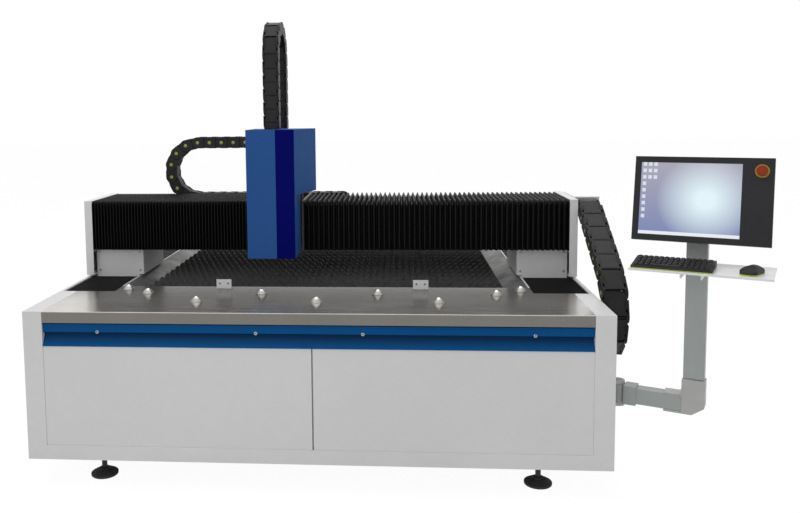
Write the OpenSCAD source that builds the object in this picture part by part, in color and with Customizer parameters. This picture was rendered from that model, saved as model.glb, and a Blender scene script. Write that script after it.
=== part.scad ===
// Open flat-bed fibre laser cutting machine, with a bridge gantry, a covered cutting head and a side console.
// Sizes are worked out with the bed's front face at y = 0, its middle at x = 0 and the floor at z = 0.

/* [Bed] */
// Width of each side channel, from the slats' ends to the bed's outer face
side_w = 382; // [380:1:420]
// Length of the bed
bed_l = 4400; // [4250:10:5000]
// Height of the table top above the floor
table_z = 783; // [760:1:850]
// Clear height under the bed
floor_gap = 127; // [110:1:140]
// Width of the white corner posts
post_w = 85; // [60:1:110]
// Height of the rail under the front panels
rail_h = 64; // [40:1:90]
// Height of the blue trim strip
trim_h = 98; // [70:1:130]
// Height of the table's folded front lip
lip_h = 50; // [35:1:70]
// Sheet thickness of panels and table
sheet = 3; // [2:0.5:4]

/* [Cutting table] */
// Depth of the plain table in front of the slats
table_d = 520; // [480:1:560]
// Half width of the slat bed
slat_half = 868; // [800:1:880]
// Length of the slat bed
slat_bed_l = 3080; // [2800:10:3150]
// Spacing of the slats
slat_pitch = 100; // [70:1:150]
// Thickness of a slat
slat_t = 4; // [2:0.5:6]
// Pitch of the slat's teeth
tooth_pitch = 34; // [30:1:60]
// Depth of the slat's teeth
tooth_depth = 18; // [10:1:30]
// Height of a slat
slat_h = 92; // [70:1:100]

/* [Long axis] */
// Distance of the guide rail's middle from the bed's outer face
rail_off = 228; // [222:1:231]
// Width of the accordion covers over the rails
cover_w = 250; // [240:1:252]
// How far the front covers reach forward beside the plain table
cover_reach = 115; // [100:1:140]
// Number of pleats in one cover
cover_pleats = 30; // [20:1:40]
// Height of the pleats
cover_h = 20; // [10:1:24]
// Gear module of racks and pinions
gear_m = 4; // [3:0.5:5]
// Teeth on a long axis pinion
y_teeth = 14; // [12:1:15]

/* [Gantry] */
// Distance of the gantry's front behind the plain table
gantry_gap = 225; // [220:1:280]
// Depth of the gantry
gantry_d = 420; // [400:1:440]
// Top of the bellows
bellows_top = 1175; // [1165:1:1200]
// Lower edge of the bellows
bellows_low = 923; // [918:1:926]
// Thickness of the bellows from fold to fold
fold_t = 44; // [30:1:50]
// Number of folds in each bellows
folds = 52; // [30:1:60]
// Thickness of the end caps
cap_t = 40; // [25:1:45]

/* [Cutting head] */
// Middle of the head from the machine's middle
head_x = -243; // [-400:1:300]
// Width of the head cover
hood_w = 232; // [225:1:250]
// Front of the head cover, ahead of the gantry
hood_reach = 225; // [215:1:240]
// Lower edge of the head cover
hood_low = 920; // [916:1:924]
// Top of the head cover
hood_top = 1540; // [1520:1:1600]
// Width of the dark stripe panel
stripe_w = 90; // [60:1:110]
// Sideways flare of the cover's upper side
flare = 76; // [40:1:90]
// Teeth on the cross axis pinion
x_teeth = 12; // [10:1:12]

/* [Console] */
// Angle that the console is swung forward
console_turn = 26; // [0:1:45]
// Length of the console's arm
arm_l = 296; // [270:1:340]
// Height of the arm's middle
arm_z = 415; // [400:1:440]
// Height of the keyboard tray
tray_z = 1007; // [960:1:1030]
// Width of the monitor
monitor_w = 497; // [440:1:520]
// Height of the monitor
monitor_h = 335; // [300:1:360]
// Backward tilt of the monitor
monitor_tilt = 12; // [0:1:20]

/* [Hidden] */
$fn = 48;
gap = 0.3;
half_w = slat_half + side_w;
cover_y0 = table_d - cover_reach;
gantry_y = table_d + gantry_gap;
rail_x = half_w - rail_off;

// Front face
trim_gap = 4;
panel_top = table_z - lip_h - trim_h - trim_gap;
panel_low = floor_gap + rail_h;
front_half = half_w - post_w;
surround_d = 40;
seam = 3;
panel_set = 4;
panel_d = 20;
panel_skin = 2;

// Side beams and feet
beam_in = half_w - 350;
beam_out = half_w - 50;
beam_low = floor_gap + 13;
beam_top = table_z - 93;
beam_wall = 12;
beam_y0 = surround_d;
beam_y1 = bed_l - surround_d;
foot_x = half_w - 285;
foot_inset = 145;
foot_y = [for (i = [0:3]) foot_inset + i * (bed_l - 2 * foot_inset) / 3];
cross_w = 120;
cross_h = 200;
cross_wall = 8;
foot_d = 120;
stud_d = 24;

// Slat bed
slat_y0 = table_d + 30;
slat_count = floor(slat_bed_l / slat_pitch);
slat_low = table_z - slat_h;
rack_bar = 40;
rack_h = 70;
slat_end = slat_y0 + slat_bed_l;
rim_w = 17;
end_rim = 60;
edge_t = 6;
cover_x0 = half_w - rim_w - 1 - cover_w;

// Racks, pinions and chains
pitch = PI * gear_m;
y_pinion_r = gear_m * y_teeth / 2;
x_pinion_r = gear_m * x_teeth / 2;
gantry_back = gantry_y + gantry_d;
leg_x0 = half_w - 290;
leg_x1 = half_w - cap_t;
leg_y0 = gantry_y + 45;
leg_y1 = gantry_back - 15;
leg_low = table_z - 35;
y_drive_y = (leg_y0 + leg_y1) / 2;
y_line_x = half_w - 124;
y_drive_x = y_line_x - y_pinion_r;
rail_h_y = 30;

// Gantry beam and cross axis
beam_front = gantry_y + 125;
beam_back = gantry_back - fold_t - 6;
gb_low = bellows_low + 7;
gb_top = bellows_top - fold_t - 16;
x_rail_z = [gb_low + 32, gb_top - 24];
x_line_z = gb_low + 78;
x_drive_x = head_x - 62;
x_drive_z = x_line_z + x_pinion_r;
plate_y1 = beam_front - 40;
plate_t = 25;
plate_y0 = plate_y1 - plate_t;
hood_y0 = gantry_y - hood_reach;
hood_x0 = head_x - hood_w / 2;
hood_x1 = head_x + hood_w / 2;
hood_step = bellows_top + 50;
wrap_x = hood_w / 2 + 16;

// Up and down axis
z_x = head_x + 48;
z_screw_y = plate_y0 - 17;
slide_y1 = plate_y0 - 35;
slide_t = 18;
slide_low = hood_low + 90;
slide_h = 300;
slide_top = slide_low + slide_h + 37;
head_y = hood_y0 + 120;
nozzle_z = hood_low + 16;

// Console, in its own frame with u along the arm and v to the back
hinge_x = half_w + 50;
hinge_y = 150;
column_u = arm_l;
tray_u = [column_u - 212, column_u + 284];
tray_v = [-300, -48];
tray_sheet = 3;
tray_edge = 5;
monitor_u = column_u + 18;
monitor_low = tray_z + 84;
monitor_v = -62;
monitor_t = 48;
estop_r = 14;

// Chains
y_chain_w = 112;
y_chain_h = 62;
y_chain_off = 10;
y_chain_x = half_w + y_chain_off + y_chain_w / 2;
y_chain_low = table_z - 273;
y_chain_r = 200;
y_bend_y = gantry_y - 257;
y_slope = 31;
x_chain_w = 90;
x_chain_h = 64;
x_chain_y = gantry_back + 35 + x_chain_w / 2;
x_chain_r = 158;
x_chain_top = bellows_top + 282;
x_bend_x = head_x - 516;
z_chain_w = 77;
z_chain_h = 60;
z_chain_r = 145;
z_chain_x = head_x - 2;
z_chain_y = hood_y0 + 110;
z_bend_z = hood_top + 358;

// The finished part stands on the middle of its floor area
ct = cos(console_turn);
st = sin(console_turn);
x_max = hinge_x + tray_u[1] * ct + tray_v[1] * st;
y_min = hinge_y - tray_u[1] * st + tray_v[0] * ct;
centre = [(x_max - half_w) / 2, (y_min + bed_l) / 2, 0];

module place() { translate(-centre) children(); }
module box(x, y, z) { translate([x[0], y[0], z[0]]) cube([x[1] - x[0], y[1] - y[0], z[1] - z[0]]); }
module both() { children(); mirror([1, 0, 0]) children(); }
module along_x(x0, x1) { translate([x0, 0, 0]) rotate([90, 0, 90]) linear_extrude(x1 - x0) children(); }
module along_y(y0, y1) { translate([0, y1, 0]) rotate([90, 0, 0]) linear_extrude(y1 - y0) children(); }
module rod(d, p, h) { translate(p) cylinder(d = d, h = h); }
module rod_y(d, p, h) { translate(p) rotate([-90, 0, 0]) cylinder(d = d, h = h); }
module rod_x(d, p, h) { translate(p) rotate([0, 90, 0]) cylinder(d = d, h = h); }
module console_frame() { translate([hinge_x, hinge_y, 0]) rotate(-console_turn) children(); }

// Straight rack outline with teeth pointing along +y, a tooth gap at x = 0 and its pitch line at y = 0
module rack_2d(x0, x1, back) {
    n0 = ceil((x0 + 4) / pitch);
    n1 = floor((x1 - 4) / pitch) - 1;
    w = pitch / 4;
    a = gear_m * 0.8;
    d = gear_m * 1.15;
    teeth = [for (i = [n0:n1], p = [[w * 1.2, -d], [w * 1.6, a], [w * 2.4, a], [w * 2.8, -d]])
        [i * pitch + p[0] , p[1]]];
    polygon(concat([[x0, -back], [x0, -d]], teeth, [[x1, -d], [x1, -back]]));
}

// Pinion outline with a tooth on +x
module pinion_2d(teeth, r) {
    step = 360 / teeth;
    root = r - gear_m * 1.1;
    tip = r + gear_m * 0.8;
    pts = [for (i = [0:teeth - 1], p = [[-0.26, root], [-0.09, tip], [0.09, tip], [0.26, root]])
        p[1] * [cos((i + p[0]) * step), sin((i + p[0]) * step)]];
    polygon(pts);
}

// Link cheek along x from its round end at a to its square end at b
module cheek(a, b, h, t) {
    translate([a, 0, 0]) rotate([-90, 0, 0]) cylinder(d = h, h = t);
    translate([min(a, b), 0, -h / 2]) cube([abs(b - a), t, h]);
}

// Lid over one face of a link, with a tongue that stays under the next link's lid as the chain bends
lid_z = [0.37, 0.45];
tongue_z = [0.28, 0.33];
tongue_reach = 0.15;
module link_lid(p, h, ends, half, free_to) {
    neck = ends[1] * p - h * 0.06;
    tip = p + h * tongue_reach;
    along_y(-half, half) polygon([[free_to, h * lid_z[0]], [neck, h * lid_z[0]], [neck, h * tongue_z[0]],
        [tip, h * tongue_z[0]], [tip, h * tongue_z[1]], [ends[1] * p, h * tongue_z[1]],
        [ends[1] * p, h * lid_z[1]], [free_to, h * lid_z[1]]]);
    box([ends[0] * p, free_to + 1], [gap - half, half - gap], h * lid_z);
}

// One closed link of an energy chain along +x: bored outer cheeks at 0, inner cheeks with pins at its pitch,
// cranked between them. The lid towards the bend is shorter, to leave the links room to turn.
inner_h = 0.96;
link_play = 1;
link_pin = 0.3;
lid_in = [0.11, 0.89];
lid_out = [0.02, 0.98];
module chain_link(p, h, w) {
    t = w * 0.06;
    inner = w / 2 - t - gap;
    outer_h = h - 2 * gap;
    half_h = outer_h * inner_h / 2;
    crank = [half_h + link_play, p - outer_h / 2 - link_play];
    for (s = [0, 1]) mirror([0, s, 0]) {
        difference() {
            translate([0, w / 2 - t, 0]) cheek(0, crank[1], outer_h, t);
            rod_y(h * link_pin + 2 * gap, [0, w / 2 - t - 1, 0], t + 2);
        }
        translate([0, inner - t, 0]) cheek(p, crank[0], 2 * half_h, t);
        rod_y(h * link_pin, [p, inner - t, 0], w / 2 - inner + t);
        box(crank, [inner - t, w / 2], [-half_h, half_h]);
    }
    link_lid(p, h, lid_in, inner - t, crank[0]);
    mirror([0, 0, 1]) link_lid(p, h, lid_out, inner - t, crank[0]);
}

// How far a chain reaches past its first and its last link's pitch
function chain_head(h) = h / 2 - gap;
function chain_tail(h) = (h / 2 - gap) * inner_h + gap;

// A chain laid in the x-z plane: a straight run, a bend and a second run, each given by its number of links
module chain_path(p, h, w, runs, r, sweep) {
    for (i = [0:runs[0] - 1]) translate([-(i + 1) * p, 0, 0]) chain_link(p, h, w);
    bend_n = runs[1];
    step = sweep / bend_n;
    chord = 2 * r * sin(step / 2);
    for (i = [0:bend_n - 1]) {
        a = i * step;
        translate([r * sin(a), 0, r - r * cos(a)]) rotate([0, -(a + step / 2), 0]) chain_link(chord, h, w);
    }
    translate([r * sin(sweep), 0, r - r * cos(sweep)]) rotate([0, -sweep, 0])
        for (i = [0:runs[2] - 1]) translate([i * p, 0, 0]) chain_link(p, h, w);
}

// Zigzag outline of a flat pleated cover
module pleats_2d(y0, y1) {
    n = cover_pleats;
    dy = (y1 - y0) / (2 * n);
    top = [for (i = [0:2 * n]) [y0 + i * dy, (i % 2) * (cover_h - 3)]];
    low = [for (i = [2 * n:-1:0]) [y0 + i * dy, (i % 2) * (cover_h - 3) + 3]];
    polygon(concat(top, low));
}

// Bellows wall over the front and top of the beam, folded between an outer and an inner outline
module bellows_fold(x0, x1, n) {
    c = 18;
    function ring(x, s) = let (a = s * fold_t * 0.55) [
        [x, gantry_y + a, bellows_low], [x, gantry_y + a, bellows_top - c - a * 0.4],
        [x, gantry_y + c + a * 0.4, bellows_top - a], [x, gantry_back, bellows_top - a],
        [x, gantry_back, bellows_top - fold_t], [x, gantry_y + fold_t, bellows_top - fold_t],
        [x, gantry_y + fold_t, bellows_low]];
    m = 7;
    rings = [for (i = [0:2 * n]) ring(x0 + (x1 - x0) * i / (2 * n), i % 2)];
    points = [for (r = rings, p = r) p];
    sides = [for (i = [0:2 * n - 1], j = [0:m - 1])
        [i * m + j, i * m + (j + 1) % m, (i + 1) * m + (j + 1) % m, (i + 1) * m + j]];
    polyhedron(points, concat(sides, [[for (j = [m - 1:-1:0]) j], [for (j = [0:m - 1]) 2 * n * m + j]]), 4);
}

module bed_frame() color("gainsboro") {
    both() difference() {
        box([beam_in, beam_out], [beam_y0, beam_y1], [beam_low, beam_top]);
        box([beam_in + beam_wall, beam_out - beam_wall], [beam_y0 - 1, beam_y1 + 1],
            [beam_low + beam_wall, beam_top - beam_wall]);
        for (y = foot_y) rod(stud_d + 2 * gap, [foot_x, y, beam_low - 1], beam_wall + 2);
    }
    for (y = foot_y) difference() {
        box([-beam_in, beam_in], [y - cross_w / 2, y + cross_w / 2], [beam_low, beam_low + cross_h]);
        box([-beam_in - 1, beam_in + 1], [y - cross_w / 2 + cross_wall, y + cross_w / 2 - cross_wall],
            [beam_low + cross_wall, beam_low + cross_h - cross_wall]);
    }
}

module front_surround() color("white") {
    difference() {
        box([-half_w, half_w], [0, surround_d], [floor_gap, table_z]);
        box([-front_half, front_half], [-1, surround_d + 1], [panel_low, table_z + 1]);
        box([-half_w + sheet, half_w - sheet], [sheet, surround_d + 1], [floor_gap - 1, panel_low - sheet]);
    }
    both() {
        box([front_half, half_w], [surround_d, cover_y0], [table_z - sheet, table_z]);
        box([half_w - sheet, half_w], [surround_d, cover_y0], [floor_gap, table_z]);
    }
}

module front_panels() color("whitesmoke") both()
    difference() {
        box([seam, front_half], [panel_set, panel_set + panel_d], [panel_low, panel_top]);
        box([seam + panel_skin, front_half - panel_skin], [panel_set + panel_skin, panel_set + panel_d + 1],
            [panel_low + panel_skin, panel_top - panel_skin]);
    }

module blue_trim() color("steelblue") along_x(-front_half, front_half)
    polygon([[0, panel_top + trim_h], [0, panel_top + trim_h - 3], [6, panel_top + trim_h - 6],
        [10, panel_top + trim_h * 0.62], [26, panel_top + trim_h * 0.52], [26, panel_top + trim_h * 0.45],
        [4, panel_top + 8], [0, panel_top + 4], [0, panel_top],
        [surround_d, panel_top], [surround_d, panel_top + trim_h]]);

ball_step = slat_half * 0.311;
function transfer_points() = concat([for (i = [-2, 0, 2]) [i * ball_step, cover_y0 - 193]],
    [for (i = [-3, -1, 1, 3]) [i * ball_step, cover_y0 - 33]]);
cup_d = 46;

module front_table() color("silver") difference() {
    union() {
        box([-front_half, front_half], [0, cover_y0], [table_z - sheet, table_z]);
        box([-cover_x0, cover_x0], [cover_y0 - 1, table_d], [table_z - sheet, table_z]);
        box([-front_half, front_half], [0, sheet], [table_z - lip_h, table_z]);
        box([-front_half, front_half], [0, surround_d], [table_z - lip_h, table_z - lip_h + sheet]);
        box([-cover_x0, cover_x0], [table_d - sheet, table_d], [table_z - 80, table_z]);
        both() box([front_half - sheet, front_half], [0, surround_d], [table_z - lip_h, table_z]);
    }
    for (p = transfer_points()) rod(cup_d - 8, [p[0], p[1], table_z - sheet - 1], sheet + 2);
}

ball_r = 15;
module ball_transfers() color("silver") for (p = transfer_points()) translate([p[0], p[1], table_z]) {
    difference() {
        rotate_extrude() polygon([[0, -12], [18, -12], [18, 0], [cup_d / 2 + 4, 0], [cup_d / 2 + 4, 3],
            [cup_d / 2, 3.4], [20, 9], [16.5, 16], [0, 16]]);
        translate([0, 0, 9]) sphere(ball_r + gap);
    }
    translate([0, 0, 9]) sphere(ball_r);
}

stop_x = slat_half * 0.541;
stop_w = 36;
module bed_stops() color("white") both() difference() {
    union() {
        box([stop_x - stop_w, stop_x + stop_w], [table_d - 44, table_d - 40], [table_z, table_z + 44]);
        box([stop_x - stop_w, stop_x + stop_w], [table_d - 44, table_d - 14], [table_z, table_z + 4]);
    }
    for (x = [stop_x - 20, stop_x + 20]) rod_y(9, [x, table_d - 50, table_z + 24], 20);
}

module inner_plates() color("darkgray") both() along_y(table_d, slat_end) {
    x0 = slat_half + 14;
    x1 = cover_x0 - edge_t;
    polygon([[x1, beam_top], [x1, table_z - 4], [x0, table_z - 42], [x0, beam_top + 4],
        [x0 + 4, beam_top + 4], [x0 + 4, table_z - 44], [x1 - 4, table_z - 10], [x1 - 4, beam_top]]);
}

edge_hole_step = 400;
module cover_edges() color("white") both() difference() {
    box([cover_x0 - edge_t, cover_x0], [table_d, bed_l - end_rim], [beam_top, table_z + 2]);
    for (y = [table_d + edge_hole_step / 2:edge_hole_step:bed_l - end_rim - 40])
        rod_x(8, [cover_x0 - edge_t - 1, y, beam_top + 20], edge_t + 2);
}

module slat_rack() color("dimgray") {
    both() box([beam_in - rack_bar, beam_in], [slat_y0 - 10, slat_end], [slat_low - rack_h, slat_low]);
    for (i = [0:4]) let (y = slat_y0 + i * (slat_bed_l - end_rim) / 4)
        box([-beam_in + rack_bar, beam_in - rack_bar], [y, y + 30], [slat_low - rack_h, slat_low - 20]);
}

module slats() color("dimgray") {
    n = floor(2 * slat_half / tooth_pitch);
    p = 2 * slat_half / n;
    top = [for (i = [0:n - 1], q = [[0, -1], [0.32, 0], [0.68, 0]])
        [-slat_half + (i + q[0]) * p, table_z - 1 + q[1] * tooth_depth]];
    edge = concat([[-slat_half, slat_low]], top,
        [[slat_half, table_z - 1 - tooth_depth], [slat_half, slat_low]]);
    for (i = [0:slat_count - 1]) let (y = slat_y0 + i * slat_pitch) along_y(y, y + slat_t) polygon(edge);
}

tray_x = slat_half - 68;
tray_h = 200;
tray_t = 4;
module scrap_tray() color("gray") {
    low = beam_low + cross_h;
    x1 = tray_x - tray_h;
    along_y(slat_y0, slat_end) polygon([[-tray_x, low + tray_h], [-x1, low], [x1, low],
        [tray_x, low + tray_h], [tray_x - tray_t, low + tray_h], [x1 - tray_t / 2, low + tray_t],
        [tray_t / 2 - x1, low + tray_t],
        [tray_t - tray_x, low + tray_h]]);
}

module rear_panel() color("white") {
    deck = cover_x0 - edge_t;
    box([-half_w, half_w], [bed_l - sheet, bed_l], [floor_gap, table_z]);
    box([-half_w, half_w], [bed_l - end_rim, bed_l], [table_z - sheet, table_z]);
    box([-deck, deck], [slat_end, bed_l - end_rim + 1], [table_z - sheet, table_z]);
    box([-deck, deck], [slat_end, slat_end + sheet], [slat_low, table_z]);
}

side_panel_n = 4;
bracket_w = 40;
module side_panels() color("white") both() {
    y1 = bed_l - sheet;
    step = (y1 - cover_y0) / side_panel_n;
    rim = [cover_y0, bed_l - end_rim];
    for (i = [0:side_panel_n - 1]) let (y = cover_y0 + i * step) {
        box([half_w - sheet, half_w], [y, y + step - (i < side_panel_n - 1 ? seam : 0)],
            [floor_gap, table_z - sheet]);
        for (b = [0.2, 0.7]) box([beam_out, half_w - sheet], [y + b * step, y + b * step + bracket_w],
            [beam_low + 160, beam_top - 90]);
    }
    box([half_w - rim_w, half_w], rim, [table_z - sheet, table_z]);
    box([half_w - rim_w, half_w - rim_w + sheet], rim, [table_z - 30, table_z]);
}

module y_rails() color("silver") both() {
    y = [beam_y0 + 300, beam_y1 - 20];
    box([rail_x - 15, rail_x + 15], y, [beam_top, beam_top + 16]);
    box([rail_x - 10, rail_x + 10], y, [beam_top + 16, beam_top + 20]);
    box([rail_x - 15, rail_x + 15], y, [beam_top + 20, beam_top + rail_h_y]);
}

module y_racks() color("slategray") both() translate([y_line_x, y_drive_y, beam_top])
    rotate(90) linear_extrude(28)
        rack_2d(beam_y0 + 300 - y_drive_y, beam_y1 - 20 - y_drive_y, 26);

module foot_pads() color([0.1, 0.1, 0.1]) for (x = [-foot_x, foot_x], y = foot_y) translate([x, y, 0])
    rotate_extrude() polygon([[0, 0], [foot_d / 2 - 3, 0], [foot_d / 2, 3], [foot_d / 2, 12], [42, 22],
        [22, 27], [22, 34], [0, 34]]);

module foot_studs() color("gray") for (x = [-foot_x, foot_x], y = foot_y) {
    rod(stud_d, [x, y, 34], beam_low - 34 + beam_wall + 10);
    difference() {
        translate([x, y, beam_low - 20]) cylinder(d = 42, h = 20, $fn = 6);
        rod(stud_d + 2 * gap, [x, y, beam_low - 21], 22);
    }
}

module pleated_cover(y0, y1) both() translate([0, 0, table_z - cover_h - 2])
    rotate([90, 0, 90]) translate([0, 0, cover_x0 + gap]) linear_extrude(cover_w - 2 * gap) pleats_2d(y0, y1);
module front_covers() color([0.08, 0.08, 0.09]) pleated_cover(cover_y0 + gap, leg_y0 - gap);
module rear_covers() color([0.08, 0.08, 0.09]) pleated_cover(leg_y1 + gap, bed_l - end_rim - gap);

y_link = 100;
y_run = 16;
y_up = 5;
tray_side = 50;
module y_chain_tray() color("gainsboro") {
    low = y_chain_low - y_chain_h / 2 - sheet;
    x1 = y_chain_x + y_chain_w / 2 + 8;
    y = [y_bend_y + 4 * y_link, y_bend_y + (y_run + 1) * y_link];
    box([half_w, x1], y, [low, low + sheet]);
    box([x1 - sheet, x1], y, [low, low + tray_side]);
    box([half_w, half_w + sheet], y, [low, low + tray_side]);
}

module y_chain() color([0.1, 0.1, 0.11]) translate([y_chain_x, y_bend_y, y_chain_low]) rotate(-90)
    chain_path(y_link, y_chain_h, y_chain_w, [y_run, 5, y_up], y_chain_r, 180 - y_slope);

module gantry_beam() color("gainsboro") difference() {
    box([-half_w + cap_t, half_w - cap_t], [beam_front, beam_back], [gb_low, gb_top]);
    box([-half_w - 1, half_w + 1], [beam_front + 10, beam_back - 10], [gb_low + 10, gb_top - 10]);
}

module end_caps() color("white") both() difference() {
    box([half_w - cap_t, half_w], [gantry_y, gantry_back], [table_z + 8, bellows_top + 3]);
    box([half_w - cap_t - 1, half_w - 4], [gantry_y + 4, gantry_back - 4], [table_z + 12, gb_low - 20]);
}

leg_wall = 8;
leg_base = 12;
leg_step = table_z + 6;
shaft_hole = 40;
module gantry_legs() color("white") both() difference() {
    union() {
        box([leg_x0, leg_x1], [leg_y0, leg_y1], [leg_step, gb_low]);
        box([cover_x0 + 3, leg_x1], [leg_y0, leg_y1], [leg_low, leg_step + 1]);
    }
    box([cover_x0 + 3 + leg_wall, leg_x1 - leg_wall], [leg_y0 + leg_wall, leg_y1 - leg_wall],
        [leg_low + leg_base, gb_low - leg_wall]);
    box([leg_x0 + leg_wall, leg_x1 - leg_wall], [leg_y0 + leg_wall, leg_y1 - leg_wall],
        [leg_step + leg_wall, gb_low - leg_wall]);
    rod(shaft_hole, [y_drive_x, y_drive_y, leg_low - 1], leg_base + 2);
}

block_l = 80;
module y_blocks() color("silver") both() for (y = [leg_y0 + 10, leg_y1 - 10 - block_l]) difference() {
    box([rail_x - 35, rail_x + 35], [y, y + block_l], [beam_top + 6, leg_low]);
    box([rail_x - 15 - gap, rail_x + 15 + gap], [y - 1, y + block_l + 1],
        [beam_top, beam_top + rail_h_y + gap]);
}

module y_motors() color("dimgray") both() translate([y_drive_x, y_drive_y, leg_low + leg_base]) {
    translate([-45, -45, 0]) cube([90, 90, 50]);
    cylinder(d = 78, h = 64);
    translate([-40, -40, 64]) cube([80, 80, 80]);
}

module y_pinion() translate([y_drive_x, y_drive_y, beam_top + 2]) {
    linear_extrude(24) pinion_2d(y_teeth, y_pinion_r);
    cylinder(d = 20, h = leg_low + leg_base - beam_top - 2);
}
module y_pinion_right() color("slategray") y_pinion();
module y_pinion_left() color("slategray") mirror([1, 0, 0]) y_pinion();

x_rail_w = 24;
x_rail_d = 22;
module x_rails() color("silver") for (z = x_rail_z)
    box([-half_w + cap_t + 5, half_w - cap_t - 5], [beam_front - x_rail_d, beam_front],
        [z - x_rail_w / 2, z + x_rail_w / 2]);

module x_rack() color("slategray") translate([x_drive_x, beam_front, x_line_z]) rotate([90, 0, 0])
    linear_extrude(20) rack_2d(-half_w + cap_t + 5 - x_drive_x, half_w - cap_t - 5 - x_drive_x, 16);

module bellows_left() color([0.06, 0.06, 0.07])
    bellows_fold(-half_w + cap_t, head_x - wrap_x, folds);
module bellows_right() color([0.06, 0.06, 0.07])
    bellows_fold(head_x + wrap_x, half_w - cap_t, folds);

x_link = 68;
x_low_links = 12;
x_top_links = 6;
module x_chain_tray() color("gainsboro") {
    low = x_chain_top - 2 * x_chain_r - x_chain_h / 2 - 3;
    y1 = x_chain_y + x_chain_w / 2 + 8;
    box([-half_w + cap_t, half_w - cap_t], [beam_back, y1], [low, low + 3]);
    box([-half_w + cap_t, half_w - cap_t], [y1 - 3, y1], [low, low + 40]);
    box([-half_w + cap_t, half_w - cap_t], [beam_back, beam_back + 3], [low - 60, low + 3]);
}

module x_chain() color([0.12, 0.12, 0.13])
    translate([x_bend_x, x_chain_y, x_chain_top - 2 * x_chain_r]) rotate(180)
        chain_path(x_link, x_chain_h, x_chain_w, [x_low_links, 7, x_top_links], x_chain_r, 180);

bracket_t = 10;
module y_chain_bracket() color("gainsboro") {
    a = 180 - y_slope;
    run = y_up * y_link + chain_tail(y_chain_h);
    e = [y_bend_y - y_chain_r * sin(a) + run * cos(y_slope),
        y_chain_low + y_chain_r * (1 - cos(a)) + run * sin(y_slope)];
    n = y_chain_h / 2 * [-sin(y_slope), cos(y_slope)];
    d = bracket_t * [cos(y_slope), sin(y_slope)];
    web_y = gantry_back - 60;
    along_x(half_w, y_chain_x + y_chain_w / 2) polygon([e + n, e - n, e - n + d, e + n + d]);
    along_x(half_w, half_w + y_chain_off - 1)
        polygon([e + n, e - n, [web_y, (e - n)[1]], [web_y, (e + n)[1]]]);
}

plate_half = wrap_x - 10;
plate_low = bellows_low + 12;
plate_top = hood_top - 100;
z_front_links = 8;
z_link = (z_bend_z - slide_top - chain_head(z_chain_h) - gap) / z_front_links;
z_rear_links = 6;
screw_low = plate_low + 25;
arm_x0 = x_bend_x + x_top_links * x_link - 60;
module carriage_plate() color("dimgray") {
    difference() {
        box([head_x - plate_half, head_x + plate_half], [plate_y0, plate_y1], [plate_low, plate_top]);
        rod_y(shaft_hole, [x_drive_x, plate_y0 - 1, x_drive_z], plate_t + 2);
    }
    for (s = [-1, 1]) translate([head_x + s * (wrap_x - 5) - 5, 0, 0]) {
        box([0, 10], [gantry_y, plate_y1], [bellows_low, bellows_top]);
        box([0, 10], [gantry_y, gantry_back], [gb_top + 10, bellows_top]);
    }
    box([z_x - 13, z_x + 13], [slide_y1 + 4, plate_y0], [plate_low, screw_low]);
    box([arm_x0, head_x + 40], [plate_y1, x_chain_y + x_chain_w / 2 + 5],
        [x_chain_top - x_chain_h / 2 - 12, x_chain_top - x_chain_h / 2]);
    anchor = z_bend_z - z_rear_links * z_link - chain_tail(z_chain_h);
    anchor_y = z_chain_y + 2 * z_chain_r;
    box([z_chain_x - 50, z_chain_x + 50], [plate_y1, anchor_y + z_chain_h / 2 + 5], [anchor - 12, anchor]);
    box([z_chain_x - 50, z_chain_x + 50], [plate_y1, plate_y1 + 12], [plate_top - 140, anchor]);
}

x_block_h = 56;
module x_blocks() color("silver") for (z = x_rail_z, x = [hood_x0 + 8, hood_x1 - 8 - block_l]) difference() {
    box([x, x + block_l], [plate_y1, beam_front - 6], [z - x_block_h / 2, z + x_block_h / 2]);
    box([x - 1, x + block_l + 1], [beam_front - x_rail_d - gap, beam_front],
        [z - x_rail_w / 2 - gap, z + x_rail_w / 2 + gap]);
}

module x_motor() color("dimgray") {
    box([x_drive_x - 40, x_drive_x + 40], [plate_y0 - 50, plate_y0], [x_drive_z - 40, x_drive_z + 40]);
    rod_y(70, [x_drive_x, plate_y0 - 62, x_drive_z], 13);
    box([x_drive_x - 38, x_drive_x + 38], [plate_y0 - 150, plate_y0 - 62], [x_drive_z - 38, x_drive_z + 38]);
}

module x_pinion() color("slategray") translate([x_drive_x, plate_y0, x_drive_z]) {
    rotate([-90, 0, 0]) cylinder(d = 18, h = beam_front - 2 - plate_y0);
    translate([0, beam_front - 2 - plate_y0, 0]) rotate([90, 0, 0]) rotate(-90) linear_extrude(18)
        pinion_2d(x_teeth, x_pinion_r);
}

skin = 3;
module hood_plan(i) polygon([[hood_x0 + i, hood_y0 + i], [hood_x1 - i, hood_y0 + i],
    [hood_x1 + flare - i, plate_y0], [hood_x0 + i, plate_y0]]);

module head_cover() color("steelblue") difference() {
    union() {
        translate([0, 0, hood_step]) linear_extrude(hood_top - hood_step) hood_plan(0);
        box([hood_x0, hood_x1], [hood_y0, gantry_y + 15], [hood_low, hood_step + 1]);
    }
    translate([0, 0, hood_step + skin]) linear_extrude(hood_top - hood_step - 2 * skin) hood_plan(skin);
    box([hood_x0 + skin, hood_x1 - skin], [hood_y0 + skin, plate_y0 + 1],
        [hood_low - 1, hood_step + skin + 1]);
    box([hood_x1 - stripe_w, hood_x1 + 1], [hood_y0 - 1, hood_y0 + skin], [hood_low - 1, hood_top + 1]);
    box([z_chain_x - z_chain_w / 2 - 5, z_chain_x + z_chain_w / 2 + 5],
        [z_chain_y - z_chain_h / 2 - 6, z_chain_y + z_chain_h / 2 + 6], [hood_top - 10, hood_top + 1]);
}

module cover_stripe() color("midnightblue")
    box([hood_x1 - stripe_w, hood_x1], [hood_y0, hood_y0 + skin], [hood_low, hood_top]);

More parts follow.
